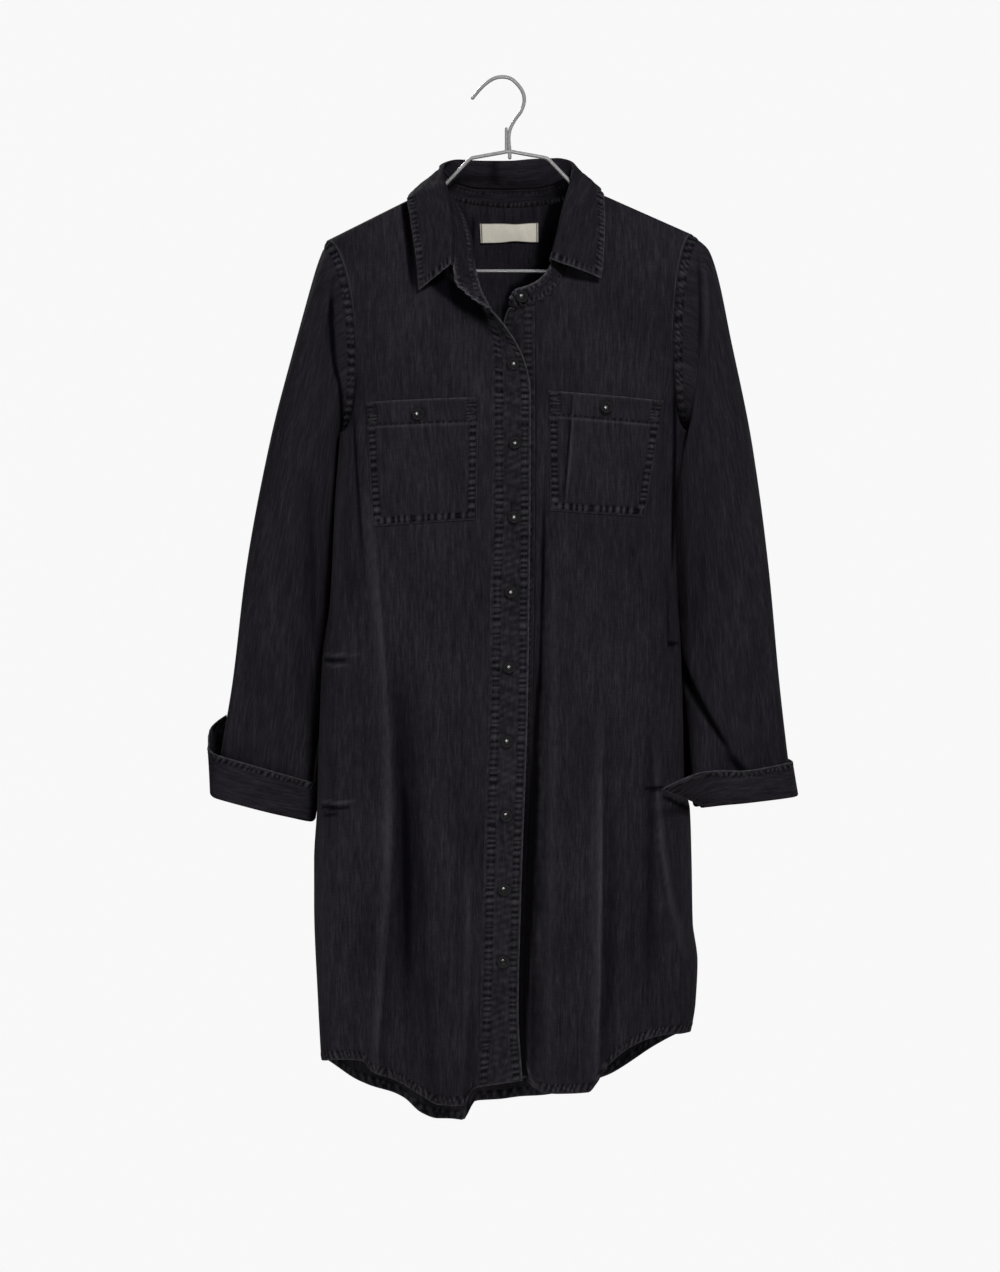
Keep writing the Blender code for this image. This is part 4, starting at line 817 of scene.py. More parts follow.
class Cloth:
    """A cloth piece: a grid of points in the middle of its thickness, and what its sewing does to it."""

    def __init__(self, node, mid, outward, thickness, closed=False, probe=None):
        self.node, self.name = node, node + "_cloth"
        self.mid, self.outward, self.thickness, self.closed = mid, outward, thickness, closed
        rows, columns = mid.shape[:2]
        self.probe = probe or (rows // 2, 0 if closed else columns // 2)
        self.height, self.dark, self.faded_and_lit = (np.zeros((rows, columns)) for _ in range(3))
        self.half = np.full((rows, columns), thickness / 2)
        self.inside = 0.0       # shade on the inner face alone
        self.lines = []
        self.down, self.across = travelled(mid), travelled(mid, 1)

    def off(self, border):
        """The distance of each point over the cloth from a border."""
        return {
            "top": self.down, "bottom": self.down[-1] - self.down,
            "left": self.across, "right": self.across[:, -1:] - self.across,
        }[border]

    def run(self, border):
        """The distance of each point along a border."""
        if border in ("top", "bottom"):
            return np.broadcast_to(self.across[0 if border == "top" else -1], self.across.shape)
        return np.broadcast_to(self.down[:, :1] if border == "left" else self.down[:, -1:], self.down.shape)

    def ends(self):
        """The distance from the nearer of the left and right borders."""
        return np.minimum(self.off("left"), self.off("right"))

    # Darker colour: mostly painted shade in pucker troughs, grooves, gaps, hollows and under edges, with some
    # unfaded folds.
    def darken(self, shade):
        self.dark = np.maximum(self.dark, shade)

    # Paler colour: wear at edges and seams, and painted light on crests and on cloth turned from the lamps.
    def lighten(self, tone):
        self.faded_and_lit = np.maximum(self.faded_and_lit, tone)

    def sew(self, border, rows, seed, depth, pitch=5.6, slant=0.0, reach=1.4, stop=(), span=None, inner=None,
            thread=True, shade=1.0, paling=0.38):
        """Stitch rows along a border: puckers between them, grooves under them, and their thread.

        Other borders stop the rows, a span of the run bounds the puckers, and inner moves their start. The
        thread is True, or the span of the run where it shows.
        """
        off, run = self.off(border), self.run(border)
        low, high = (inner if inner is not None else min(rows)) - reach, max(rows) + reach
        window = rise(off, low - 0.8, low + 0.8) * (1 - rise(off, high - 0.8, high + 0.8))
        for other in stop:
            window = window * rise(self.off(other), min(rows) - 1.0, min(rows) + 1.0)
        if span:
            window = window * rise(run, span[0] - 2, span[0] + 2) * (1 - rise(run, span[1] - 2, span[1] + 2))
        wave = ladder(run + slant * off, seed, pitch) * window
        grooves = sum(ridge(off - row, GROOVE_WIDTH) for row in rows) * (window > 0.05)
        rungs = np.clip(0.1 * window - wave, 0, 1) ** 0.8
        self.height += depth * wave - GROOVE_DEPTH * grooves
        # Painted shade in the pucker troughs and grooves; the crests come out paler from wear.
        self.darken(shade * np.clip(0.60 * rungs + grooves * (0.28 + 0.52 * rungs) + 0.18 * window, 0, 1))
        self.lighten(np.clip(wave, 0, 1) * paling)
        self.lines += [(border, row, stop, span if thread is True else thread) for row in rows]

    def rim(self, borders, seed, faded_and_lit=0.8, width=1.1):
        """Rounds the cloth off at free edges and wears it there."""
        for k, border in enumerate(borders.split()):
            off = self.off(border)
            share = np.clip(off / (self.thickness / 2 * 1.15), 0, 1)
            self.half = np.minimum(self.half, self.thickness / 2 * np.sqrt(1 - (1 - share) ** 2 * 0.985))
            self.lighten(faded_and_lit * (0.72 + 0.28 * ladder(self.run(border), seed + k, 11.0)) * ridge(off, width))

    def fade_and_shade(self, strokes, where=1.0):
        """Tone from strokes: wear and painted light make it paler, unfaded folds and painted shade darker."""
        tone = creases(strokes, self.mid[..., 0], self.mid[..., 2]) * where
        self.darken(np.clip(-tone, 0, 1))
        self.lighten(np.clip(tone, 0, 1))

    def settle(self):
        """The faces of the wall, once all its sewing is known."""
        normals = facing(grid_normals(self.mid, self.closed), self.probe, self.outward)
        middle = self.mid + normals * self.height[..., None]
        self.normals = facing(grid_normals(middle, self.closed), self.probe, self.outward)
        over = self.normals * self.half[..., None]
        self.outer, self.inner = middle + over, middle - over

    def path(self, border, row, stop, span):
        """Points and normals of a stitch row on the outer face."""
        off, run = self.off(border), self.run(border)
        level = border in ("top", "bottom")
        if not level:
            off, run = off.T, run.T
        order = slice(None) if border in ("top", "left") else slice(None, None, -1)
        ranks = np.arange(len(off))[order]
        crossing = np.array([np.interp(row, column, ranks) for column in off[order].T])
        i, j = (crossing, np.arange(len(crossing))) if level else (np.arange(len(crossing)), crossing)
        keep = np.ones(len(i), bool)
        for other in stop:
            keep &= sample(self.off(other)[..., None], i, j, self.closed)[:, 0] >= row
        if span:
            keep &= (run[0] >= span[0]) & (run[0] <= span[1])
        i, j = i[keep].astype(float), j[keep].astype(float)
        if self.closed and level:
            i, j = np.append(i, i[0]), np.append(j, off.shape[1] - 1e-6)
        return sample(self.outer, i, j, self.closed), sample(self.normals, i, j, self.closed)

    def finish(self, uv, look=None, slot="denim"):
        """Makes the piece and keeps its stitches."""
        self.settle()
        points = np.concatenate([self.outer.reshape(-1, 3), self.inner.reshape(-1, 3)])
        grid = np.arange(self.height.size).reshape(self.height.shape)
        if self.closed:
            grid = np.hstack([grid, grid[:, :1]])
        faces = wall_faces(grid, self.height.size, self.closed)
        corners = wall_faces(np.arange(grid.size).reshape(grid.shape), 0, self.closed)
        i, j = np.minimum(self.probe, np.array(grid.shape) - 2)
        a, b, _, d = points[faces[i * (grid.shape[1] - 1) + j]]
        if np.dot(np.cross(b - a, d - a), self.normals[self.probe]) < 0:
            faces, corners = faces[:, ::-1], corners[:, ::-1]
        fields = {
            "faded_and_lit": [self.faded_and_lit, self.faded_and_lit],
            "dark": [self.dark, np.maximum(self.dark, self.inside)],
        }
        look, uv = look or DENIM, uv.reshape(-1, 2)[corners]
        piece = mesh_object(self.name, points, [faces], look, self.node, uv, fields)
        for k, row in enumerate(self.lines):
            points, normals = self.path(*row)
            if len(points) > 3:
                self.stitch(points, normals, 900 + k)

    def stitch(self, points, normals, seed, *sizes):
        """Keeps a line of stitches over the cloth."""
        STITCHES.setdefault(self.name, []).append(stitch_ends(points, normals, seed, *sizes))


def spread(total, step):
    """Positions over a length, crowded at both ends."""
    ends = np.array((0.0, 0.35, 0.8, 1.4))
    inner = np.linspace(ends[-1], total - ends[-1], max(3, round((total - 2 * ends[-1]) / step)))
    return np.concatenate([ends[:-1], inner, total - ends[:-1][::-1]]) / total


def stretches(start, *spans):
    """Positions from start on, each span with its end and its count."""
    parts = []
    for end, count in spans:
        parts.append(np.linspace(start, end, count)[:-1])
        start = end
    return np.append(np.concatenate(parts), start)


def stitch_ends(points, normals, seed, pitch=3.1, length=2.2):
    """Starts, ends and normals of the stitches along one line."""
    at = travelled(points)
    first = np.arange(0.6, at[-1] - length, pitch)
    first = first + np.random.default_rng(seed).uniform(-0.12, 0.12, len(first))

    def read(values, reach):
        return np.stack([np.interp(first + reach, at, values[:, k]) for k in range(3)], axis=-1)

    return read(points, 0), read(points, length), unit(read(normals, length / 2))


THREAD_RADIUS, THREAD_SIDES = 0.30, 4
THREAD_ENDS = ((0.0, 0.0), (0.18, 0.8), (0.5, 1.0), (0.82, 0.8), (1.0, 0.0))     # along a stitch, its girth


def sew_thread(name, groups):
    """One mesh of all these stitches, short and rounded."""
    starts, ends, normals = (np.concatenate(parts) for parts in zip(*(g for g in groups if len(g[0]))))
    beside = unit(np.cross(normals, unit(ends - starts)))
    turn = 2 * math.pi * np.arange(THREAD_SIDES) / THREAD_SIDES
    ring = beside[:, None] * np.cos(turn)[:, None] + normals[:, None] * np.sin(turn)[:, None]
    blocks = []
    for t, girth in THREAD_ENDS:
        centre = (mix(starts, ends, t) + normals * (0.02 + 0.88 * t * (1 - t)))[:, None]
        blocks.append(centre + girth * THREAD_RADIUS * ring if girth else centre)
    points = np.concatenate(blocks, axis=1)
    base = np.arange(len(points))[:, None, None] * points.shape[1]
    faces = [(base + f).reshape(-1, f.shape[1]) for f in turned_faces(len(THREAD_ENDS) - 2, THREAD_SIDES)]
    return mesh_object(name, points.reshape(-1, 3), faces, THREAD)


# ---- materials ----------------------------------------------------------------------------------------
class Nodes:
    """A material's node tree, built by short calls."""

    def __init__(self, name):
        self.material = bpy.data.materials.new(name)
        self.material.use_nodes = True
        self.tree = self.material.node_tree

    def add(self, kind, inputs=None, **settings):
        node = self.tree.nodes.new("ShaderNode" + kind)
        for key, value in settings.items():
            setattr(node, key, value)
        return self.put(node, inputs or {})

    def put(self, node, inputs):
        for key, value in inputs.items():
            if isinstance(value, bpy.types.NodeSocket):
                self.tree.links.new(value, node.inputs[key])
            else:
                node.inputs[key].default_value = value
        return node

    def read(self, name):
        return self.add("Attribute", attribute_name=name).outputs["Fac"]

    def place(self):
        return self.add("NewGeometry").outputs["Position"]

    def uv(self):
        return self.add("UVMap", uv_map="cloth").outputs[0]

    def math(self, operation, *values):
        return self.add("Math", dict(enumerate(values)), operation=operation).outputs[0]

    def total(self, *parts):
        """The sum of values, each times its weight."""
        out = None
        for value, weight in parts:
            scaled = self.math("MULTIPLY", value, weight)
            out = scaled if out is None else self.math("ADD", out, scaled)
        return out

    def noise(self, vector, scale, detail=2.0, roughness=0.5, place=(0, 0, 0)):
        moved = self.add("Mapping", {"Vector": vector, "Scale": scale, "Location": place}).outputs[0]
        inputs = {"Vector": moved, "Scale": 1.0, "Detail": detail, "Roughness": roughness}
        return self.add("TexNoise", inputs).outputs[0]

    def blend(self, share, a, b):
        return self.add("Mix", {0: share, 6: a, 7: b}, data_type="RGBA").outputs[2]

    def spread(self, value, low, high, to_low=0.0, to_high=1.0):
        return self.add("MapRange", {0: value, 1: low, 2: high, 3: to_low, 4: to_high}, clamp=True).outputs[0]

    def finish(self, colour, roughness, specular=None, relief=None, strength=0.0, distance=0.0002,
               metallic=0.0):
        """The material, once the shader has its inputs; strength and distance are those of the relief."""
        inputs = {"Base Color": colour, "Roughness": roughness, "Metallic": metallic}
        if specular is not None:
            inputs["Specular IOR Level"] = specular
        if relief is not None:
            bumped = self.add("Bump", {"Strength": strength, "Distance": distance, "Height": relief})
            inputs["Normal"] = bumped.outputs[0]
        self.put(self.tree.nodes["Principled BSDF"], inputs)
        return self.material


# The near-black colour paints shade and unfaded folds, the pale one wear and painted light; the three between
# are the cloth's own streaks.
DENIM_SHADE_AND_UNFADED = (0.0022, 0.0019, 0.0032, 1)
DENIM_DARK = (0.0080, 0.0072, 0.0096, 1)
DENIM_MID = (0.0158, 0.0142, 0.0182, 1)
DENIM_LIGHT = (0.0300, 0.0276, 0.0336, 1)
DENIM_FADED_AND_LIT = (0.0930, 0.0885, 0.0990, 1)


def denim_look():
    n = Nodes("denim_cloth")
    uv = n.uv()
    fine = n.noise(uv, (820, 95, 1), 3.0, 0.62)
    long = n.noise(uv, (460, 42, 1), 2.0, 0.55, (3, 7, 0))
    weft = n.noise(uv, (90, 900, 1), 2.0, 0.6, (11, 2, 0))
    cloud = n.noise(uv, (15, 7, 1), 3.0, 0.5, (5, 5, 0))
    streak = n.noise(uv, (200, 20, 1), 2.0, 0.6, (17, 9, 0))
    slub = n.noise(uv, (600, 34, 1), 1.0, 0.4, (31, 17, 0))
    weights = ((fine, 0.95), (long, 0.95), (streak, 0.75), (weft, 0.45), (cloud, 0.70))
    tone = n.math("ADD", n.total(*((n.math("SUBTRACT", noise, 0.5), weight) for noise, weight in weights)), 0.5)
    base = n.blend(n.spread(tone, 0.05, 0.5), DENIM_DARK, DENIM_MID)
    base = n.blend(n.spread(tone, 0.5, 1.0), base, DENIM_LIGHT)
    base = n.blend(n.math("MULTIPLY", n.spread(slub, 0.66, 0.76), 0.35), base, DENIM_LIGHT)
    # The paler field gives wear and painted light, the darker field painted shade and unfaded folds.
    paling = n.math("MULTIPLY", n.read("faded_and_lit"), n.spread(fine, 0.25, 0.65, 0.45, 1.15))
    deep = n.math("MULTIPLY", n.read("dark"), n.spread(fine, 0.25, 0.7, 1.0, 0.92))
    base = n.blend(n.math("MINIMUM", deep, 0.97), base, DENIM_SHADE_AND_UNFADED)
    base = n.blend(n.math("MINIMUM", paling, 1.0), base, DENIM_FADED_AND_LIT)
    twill = n.add("Mapping", {"Vector": uv, "Scale": (1250, 1250, 1), "Rotation": (0, 0, 0.9)}).outputs[0]
    ribs = n.add("TexWave", {"Vector": twill, "Scale": 1.0, "Distortion": 1.2, "Detail": 1.0}).outputs["Fac"]
    relief = n.math("ADD", n.math("MULTIPLY", ribs, 0.35), n.math("ADD", fine, n.math("MULTIPLY", long, 0.6)))
    return n.finish(base, n.spread(tone, 0.0, 1.0, 0.92, 0.80), 0.02, relief, 0.55, 0.0004)


def thread_look():
    n = Nodes("thread")
    twist = n.noise(n.place(), (900, 900, 900), 1.0)
    return n.finish(n.blend(twist, (0.005, 0.0045, 0.006, 1), (0.014, 0.0125, 0.016, 1)), 0.6, 0.3)


def button_look():
    n = Nodes("button_resin")
    place = n.place()
    cloud = n.noise(place, (260, 260, 260), 3.0)
    scratch = n.noise(place, (900, 900, 300), 2.0)
    colour = n.blend(cloud, (0.0016, 0.0015, 0.0019, 1), (0.0062, 0.0057, 0.0068, 1))
    scuffed = n.math("ADD", n.read("gloss"), n.spread(scratch, 0.3, 0.7, -0.06, 0.06))
    return n.finish(colour, n.spread(scuffed, 0.0, 1.0, 0.74, 0.19), 0.6, scratch, 0.1)


def wire_look():
    n = Nodes("steel_wire")
    place = n.place()
    spots = n.noise(place, (300, 300, 300), 3.0)
    drawn = n.noise(place, (70, 900, 70), 2.0)
    colour = n.blend(spots, (0.26, 0.26, 0.265, 1), (0.40, 0.40, 0.405, 1))
    roughness = n.spread(spots, 0.3, 0.7, 0.24, 0.38)
    return n.finish(colour, roughness, relief=drawn, strength=0.12, metallic=0.25)


def label_look():
    n = Nodes("label_cloth")
    uv = n.uv()
    tone = n.total((n.noise(uv, (2200, 300, 1), 1.0), 0.5), (n.noise(uv, (300, 2400, 1), 1.0), 0.5))
    base = n.blend(n.spread(tone, 0.3, 0.7), (0.62, 0.585, 0.49, 1), (0.80, 0.765, 0.67, 1))
    base = n.blend(n.read("dark"), base, (0.035, 0.032, 0.034, 1))
    return n.finish(base, 0.72, relief=tone, strength=0.4)


DENIM, THREAD, BUTTON = denim_look(), thread_look(), button_look()
WIRE, LABEL_CLOTH = wire_look(), label_look()

# ---- the cloth pieces ------------------------------------------------------------------------------------
SHELL = 1.0             # thickness of one layer as it is seen
FOLDED = 1.9            # of a folded band
POCKET_SHELL, LABEL_SHELL = 1.3, 0.6
HEM_ROW = 8.6           # from the hem's edge up to its stitches
SLEEVE_ROUND = 168      # points round a sleeve
BAND_SEEN = 39.0        # width of a placket's band as it is seen
POCKET_WIDE, POCKET_HIGH, POCKET_HEM = 114, 128, 24
LABEL_WIDE, LABEL_HIGH = 61, 20.5
FORWARD, BACKWARD = (0, -1, 0), (0, 1, 0)
STITCHES = {}


def build_fronts():
    rows = stretches(0, (UNDERARM, 88), (0.985, 222), (1, 12))
    across, down = np.meshgrid(np.linspace(0, 1, 92) ** 1.2, rows)
    for side in SIDES:
        mid = front_cloth(side, across, down) + (0, SHELL / 2, 0)
        cloth = Cloth("front_" + side, mid, FORWARD, SHELL)
        cloth.sew("bottom", (HEM_ROW,), 31 + len(side), 0.42, slant=0.4, reach=1.0, inner=1.8)
        cloth.rim("bottom", 41, 0.6)
        cloth.fade_and_shade(FADE_AND_SHADE["front_" + side])
        if side == "right":
            cloth.fade_and_shade(FADE_AND_SHADE["under_stand"])
        cloth.lighten(0.4 * ridge(cloth.off("left"), 1.3) * (down < UNDERARM))
        cloth.finish(upright_grain(mid, -INWARD[side], mid[..., 1] + 48))


def build_back():
    w = np.linspace(-1, 1, 130)
    columns = 0.5 + 0.5 * np.sign(w) * (1 - (1 - np.abs(w)) ** 1.2)
    upper_arm = stretches(0, (0.012, 8), (UNDERARM / 2, 37))
    lower_arm = UNDERARM * np.arccos(1 - 2 * np.linspace(0.5, 1, 38)) / math.pi
    rows = np.concatenate([upper_arm[:-1], lower_arm[:-1], stretches(UNDERARM, (0.985, 160), (1, 12))])
    across, down = np.meshgrid(columns, rows)
    mid = back_cloth(across, down) - (0, SHELL / 2, 0)
    # The armhole's hollow runs out softly below the underarm.
    below = np.abs(mid[..., 2] - UNDERARM_POINT["right"][1])
    near = (1 - rise(below, 18, 45)) * rise(from_side(across), 0.003, 0.03)
    for _ in range(60):
        eased = mid[..., 1].copy()
        eased[1:-1] = (eased[:-2] + 2 * eased[1:-1] + eased[2:]) / 4
        mid[..., 1] = mix(mid[..., 1], eased, near)
    cloth = Cloth("back", mid, BACKWARD, SHELL)
    cloth.sew("bottom", (HEM_ROW,), 37, 0.42, 8.6, slant=0.4, reach=1.0, inner=1.8)
    cloth.rim("bottom", 43, 0.6)
    cloth.fade_and_shade(FADE_AND_SHADE["back"])
    cloth.inside = np.clip(-creases(FADE_AND_SHADE["inside"], mid[..., 0], mid[..., 2]), 0, 1)
    cloth.finish(upright_grain(mid, np.sign(w), 40 - mid[..., 1]))


def build_sleeves():
    angle = np.linspace(0, 2 * math.pi, SLEEVE_ROUND, endpoint=False)
    angle = angle + 0.10 * np.sin(2 * angle)
    angle, along = np.meshgrid(angle, stretches(0, (0.022, 11), (0.06, 10), (1, 130)))
    out, toward_inner = np.sin(angle), (1 - np.cos(angle)) / 2
    for side in SIDES:
        name = "sleeve_" + side
        cloth = Cloth(name, sleeve_cloth(side, angle, along), (-INWARD[side], 0, 0), SHELL, closed=True)
        cloth.sew("top", (2.0, 9.4), 51 + len(side), 0.55, 8.4, slant=0.55, reach=0.6)
        cloth.fade_and_shade(FADE_AND_SHADE[name], rise(out, 0.02, 0.3))
        cloth.fade_and_shade(FADE_AND_SHADE[name + "_back"], rise(-out, 0.02, 0.3))
        # Painted shadow along the sleeve's inner back, where it tucks against the body.
        cloth.darken(0.95 * rise(-out, 0.0, 0.12) * rise(toward_inner, 0.88, 0.98) * rise(along, 0.1, 0.3))
        cloth.dark += 0.10
        cloth.finish(grain(cloth, origin=SLEEVE_ROUND // 4))


def build_cuffs():
    for side in SIDES:
        first, last = np.radians(CUFF[side]["angle"][[0, -1]])
        angle = mix(first, last, spread({"right": 220, "left": 190}[side], 1.7))
        angle, path = np.meshgrid(angle, stretches(0, (0.2, 6), (0.5, 12), (0.96, 24), (1, 5)))
        probe = (len(path) - 1, path.shape[1] // 2)
        outward = wrist_frame(side, angle[probe])[0]
        cloth = Cloth("cuff_" + side, cuff_point(side, angle, path), outward, FOLDED, probe=probe)
        cloth.sew("bottom", (5.6,), 61 + len(side), 0.45, slant=0.5, reach=1.2, inner=2.0)
        cloth.sew("left", (5.0,), 63, 0.2, inner=2.5, stop=("bottom",))
        cloth.sew("right", (5.0,), 65, 0.2, inner=2.5, stop=("bottom",))
        cloth.rim("bottom left right", 67, 0.7)
        cloth.dark += 0.08
        cloth.finish(grain(cloth, lengthwise=True))


def build_collar_stand():
    """The neck band: its inner face is the one seen."""
    at = stretches(0, (FALL_STATIONS[0], 46), (FALL_STATIONS[-1], 230), (len(NECK_SEAM["x"]) - 1, 52))
    at, up = np.meshgrid(at, np.append(-0.12, spread(26, 1.5)))
    behind = rise(at, 6, 9) * (1 - rise(at, 13, 16))
    mid = shifted(stand_point(at, up), 1.6 * behind * (1 - rise(up, -0.12, 0.3)))
    cloth = Cloth("collar_stand", mid, BACKWARD, FOLDED, probe=(6, 160))
    peeled = 1 - rise(at, 3.6, 4.6) * (1 - rise(at, 17.8, 18.6))
    cloth.height += 1.3 * peeled * undulation(29, 26 * at, 30 * up, ((17, 24, 1.4), (9, 13, 0.8)))
    cloth.sew("top", (6.0,), 71, 0.24, 5.2, reach=2.0, shade=0.55, paling=0.45)
    cloth.sew("bottom", (3.2,), 73, 0.26, 5.2, reach=2.0, shade=0.55, paling=0.45)
    # Painted shade on the stand's inner face at the -X front.
    cloth.darken(0.42 * rise(at, 1.5, 3.5) * (1 - rise(at, 6, 8)))
    cloth.rim("bottom", 75, 1.0, 1.9)
    cloth.lighten(0.7 * (1 - rise(at, 3.4, 4.6)) * ridge(cloth.off("top"), 2.0))
    # Painted shadow on the stand's +X side, beside the fall's turn into the neck.
    cloth.darken(0.97 * rise(at, 12.3, 12.8) * (1 - rise(at, 17.4, 18.2)))
    cloth.faded_and_lit *= np.maximum(peeled, 1 - rise(up, 0.72, 0.82))
    cloth.finish(grain(cloth, lengthwise=True))


def build_collar():
    at = (len(FALL_STATIONS) - 1) * spread(560, 2.1)
    at, path = np.meshgrid(at, stretches(-0.013, (0.3, 12), (0.5, 20), (0.97, 28), (1, 6)))
    probe = (60, at.shape[1] // 2)
    mid = fall_point(at, path)
    rumple = undulation(19, 38 * at, 90 * path, ((46, 60, 1.5), (25, 34, 0.8), (12, 16, 0.3)))
    normals = facing(grid_normals(mid), probe, BACKWARD)
    mid = mid + normals * (rumple * rise(path, 0.4, 0.6))[..., None]
    cloth = Cloth("collar", mid, BACKWARD, FOLDED, probe=probe)
    cloth.dark += 0.20
    # Painted shadow on the fall's inner face near its seam, on the +X side.
    cloth.inside = 0.95 * rise(at, 8.4, 9.2) * (1 - rise(path, 0.30, 0.38))
    cloth.sew("bottom", (6.6,), 77, 0.42, 5.8, slant=0.3, reach=1.6, inner=2.2, stop=("left", "right"))
    cloth.sew("left", (6.6,), 78, 0.42, 5.8, reach=1.6, inner=2.2, stop=("bottom",))
    cloth.sew("right", (6.6,), 79, 0.42, 5.8, reach=1.6, inner=2.2, stop=("bottom",))
    cloth.rim("bottom left right", 81, 0.7)
    cloth.finish(grain(cloth, lengthwise=True))


def build_placket(name, tab, raised, step, tucked, stitched):
    """A button band: raised over its table, its first column tucked under, stitched where thread shows."""
    at = travelled(np.stack([tab["edge_" + axis] for axis in "xyz"], axis=-1))
    down = np.interp(spread(at[-1], step) * at[-1], at, np.arange(len(at)))
    across, down = np.meshgrid(mix(-tucked / BAND_SEEN, 1, spread(BAND_SEEN, 1.15)), down)
    probe = (200, 10)
    mid = band_point(tab, across, down)
    x, z = mid[..., 0], mid[..., 2]
    fine = undulation(15, x, z, ((60, 120, 0.5), (30, 46, 0.35), (14, 18, 0.15)))
    normals = facing(grid_normals(mid), probe, FORWARD)
    mid = mid + normals * (SEAM_GAP + raised - FOLDED / 2 + 0.35 * fine[..., None])
    cloth = Cloth(name, mid, FORWARD, FOLDED, probe=probe)
    crumple = undulation(16, x, z, ((23, 9, 0.8), (13, 6, 0.7), (9, 17, 0.5), (31, 14, 0.7)))
    cloth.height += 0.22 * crumple
    # Painted shade in the crumple's troughs, and paler crests.
    cloth.darken(0.30 * np.clip(-crumple, 0, 1))
    cloth.lighten(0.14 * np.clip(crumple, 0, 1))
    cloth.sew("left", (4.4, 10.6), 83, 0.5, 6.1, reach=0.9, thread=stitched)
    cloth.sew("right", (3.2, 8.8), 85, 0.5, 6.1, reach=0.9, thread=stitched)
    if name == "placket_right":
        cloth.fade_and_shade(FADE_AND_SHADE["under_stand"])
    cloth.rim("left", 87, 0.22, 0.9)
    if name == "placket_left":
        # Painted shadow in the valley beside the overlap's edge, darker lower down.
        deeper = 0.12 * rise(-z, 360, 420) + 0.83 * rise(-z, 600, 780)
        hollow = (1 - rise(cloth.off("left"), 8.0, 14.0)) * deeper
        cloth.darken(hollow)
        cloth.faded_and_lit *= 1 - hollow
    cloth.rim("right bottom top", 88, 0.62, 1.2)
    cloth.finish(grain(cloth))


def patch(corners, wide, high, step):
    """Shares u, v over a patch of cloth, and the x and z of its points between its corners."""
    u, v = np.meshgrid(spread(wide, step), spread(high, step))
    a, b, c, d = np.array(corners, float)
    return u, v, mix(mix(a, b, u[..., None]), mix(d, c, u[..., None]), v[..., None])


def build_pocket(side):
    u, v, plan = patch(POCKET[side], POCKET_WIDE, POCKET_HIGH, 1.65)
    x, z = plan[..., 0], plan[..., 1]
    here, normals = lifted(lambda across, down: front_cloth(side, across, down), x, z, (0.5, 0.4))
    normals = facing(normals, (40, 40), FORWARD)
    edge = np.minimum.reduce([u * POCKET_WIDE, (1 - u) * POCKET_WIDE, (1 - v) * POCKET_HIGH])
    belly = 0.5 + 0.9 * rise(edge, 0, 14) + 0.9 * rise(edge, 0, 3) * (1 - v)
    mid = here + normals * (belly + 0.2 * undulation(17, x, z))[..., None]
    cloth = Cloth("pocket_" + side, mid, FORWARD, POCKET_SHELL)
    for border in ("left", "right"):
        cloth.sew(border, (2.4, 8.4), 91 + len(border), 0.5, 6.4, reach=0.5, stop=("bottom",))
        cloth.sew(border, (5.4, 12.0), 95 + len(border), 0.2, 3.6, reach=0.6, span=(0, POCKET_HEM))
    cloth.sew("bottom", (2.4, 8.4), 97, 0.45, 7.4, reach=0.5, stop=("left", "right"))
    top = cloth.off("top")
    hem = top - POCKET_HEM
    # Painted shade in the groove at the hem's edge, and a paler line on the ridge below it.
    cloth.darken(0.95 * (0.75 + 0.25 * ladder(cloth.run("top"), 98, 9.0)) * ridge(hem, 1.1))
    cloth.lighten(0.22 * ridge(hem - 2.6, 1.1))
    cloth.height += 0.25 * ridge(hem - 2.6, 1.5) - 0.45 * ridge(hem, 1.3)
    cloth.sew("top", (POCKET_HEM,), 99, 0.12, 6.0, reach=0.8)
    corner = np.minimum(cloth.off("left"), cloth.off("right"))
    # Painted shade in the pocket's top corners.
    cloth.darken(0.5 * (1 - rise(corner, 11, 15)) * (1 - rise(top, 22, 29)))
    if side == "left":
        cloth.fade_and_shade(FADE_AND_SHADE["pen_slot"])
    cloth.rim("top", 101, 0.5, 1.3)
    cloth.rim("left right bottom", 103, 0.28, 0.8)
    cloth.finish(grain(cloth))
    if side == "left":      # a pen slot's row of stitches, from the top to the bottom
        rows, columns = cloth.height.shape
        slot = np.linspace(0.02, 0.98, 60) * (rows - 1), np.linspace(0.205, 0.13, 60) * (columns - 1)
        cloth.stitch(sample(cloth.outer, *slot), sample(cloth.normals, *slot), 990)


def build_label():
    u, v, plan = patch(LABEL, LABEL_WIDE, LABEL_HIGH, 1.2)
    z = plan[..., 1] + 1.4 * v * ridge(u - 0.6, 0.2) - 1.0 * (1 - v) * ridge(u - 0.62, 0.17)

    def inside(across, down):
        return back_cloth(across, down) - (0, SHELL, 0)

    here, normals = lifted(inside, plan[..., 0], z, (0.5, 0.05))
    normals = facing(normals, (5, 20), FORWARD)
    swell = 1.1 + 0.5 * np.sin(math.pi * u) * np.sin(math.pi * v) + 0.25 * np.sin(9 * u + 2 * v)
    cloth = Cloth("label", here + normals * swell[..., None], FORWARD, LABEL_SHELL)
    edge = np.minimum(cloth.off("top"), cloth.off("bottom"))
    ends = np.minimum(cloth.off("left"), cloth.off("right"))
    cloth.dark = np.maximum(0.85 * ridge(edge, 0.55), 0.9 * ridge(ends - 1.2, 0.5))
    cloth.finish(grain(cloth), LABEL_CLOTH, "label")
    for border in ("left", "right"):
        cloth.stitch(*cloth.path(border, 1.2, (), None), 977, 1.6, 1.2)


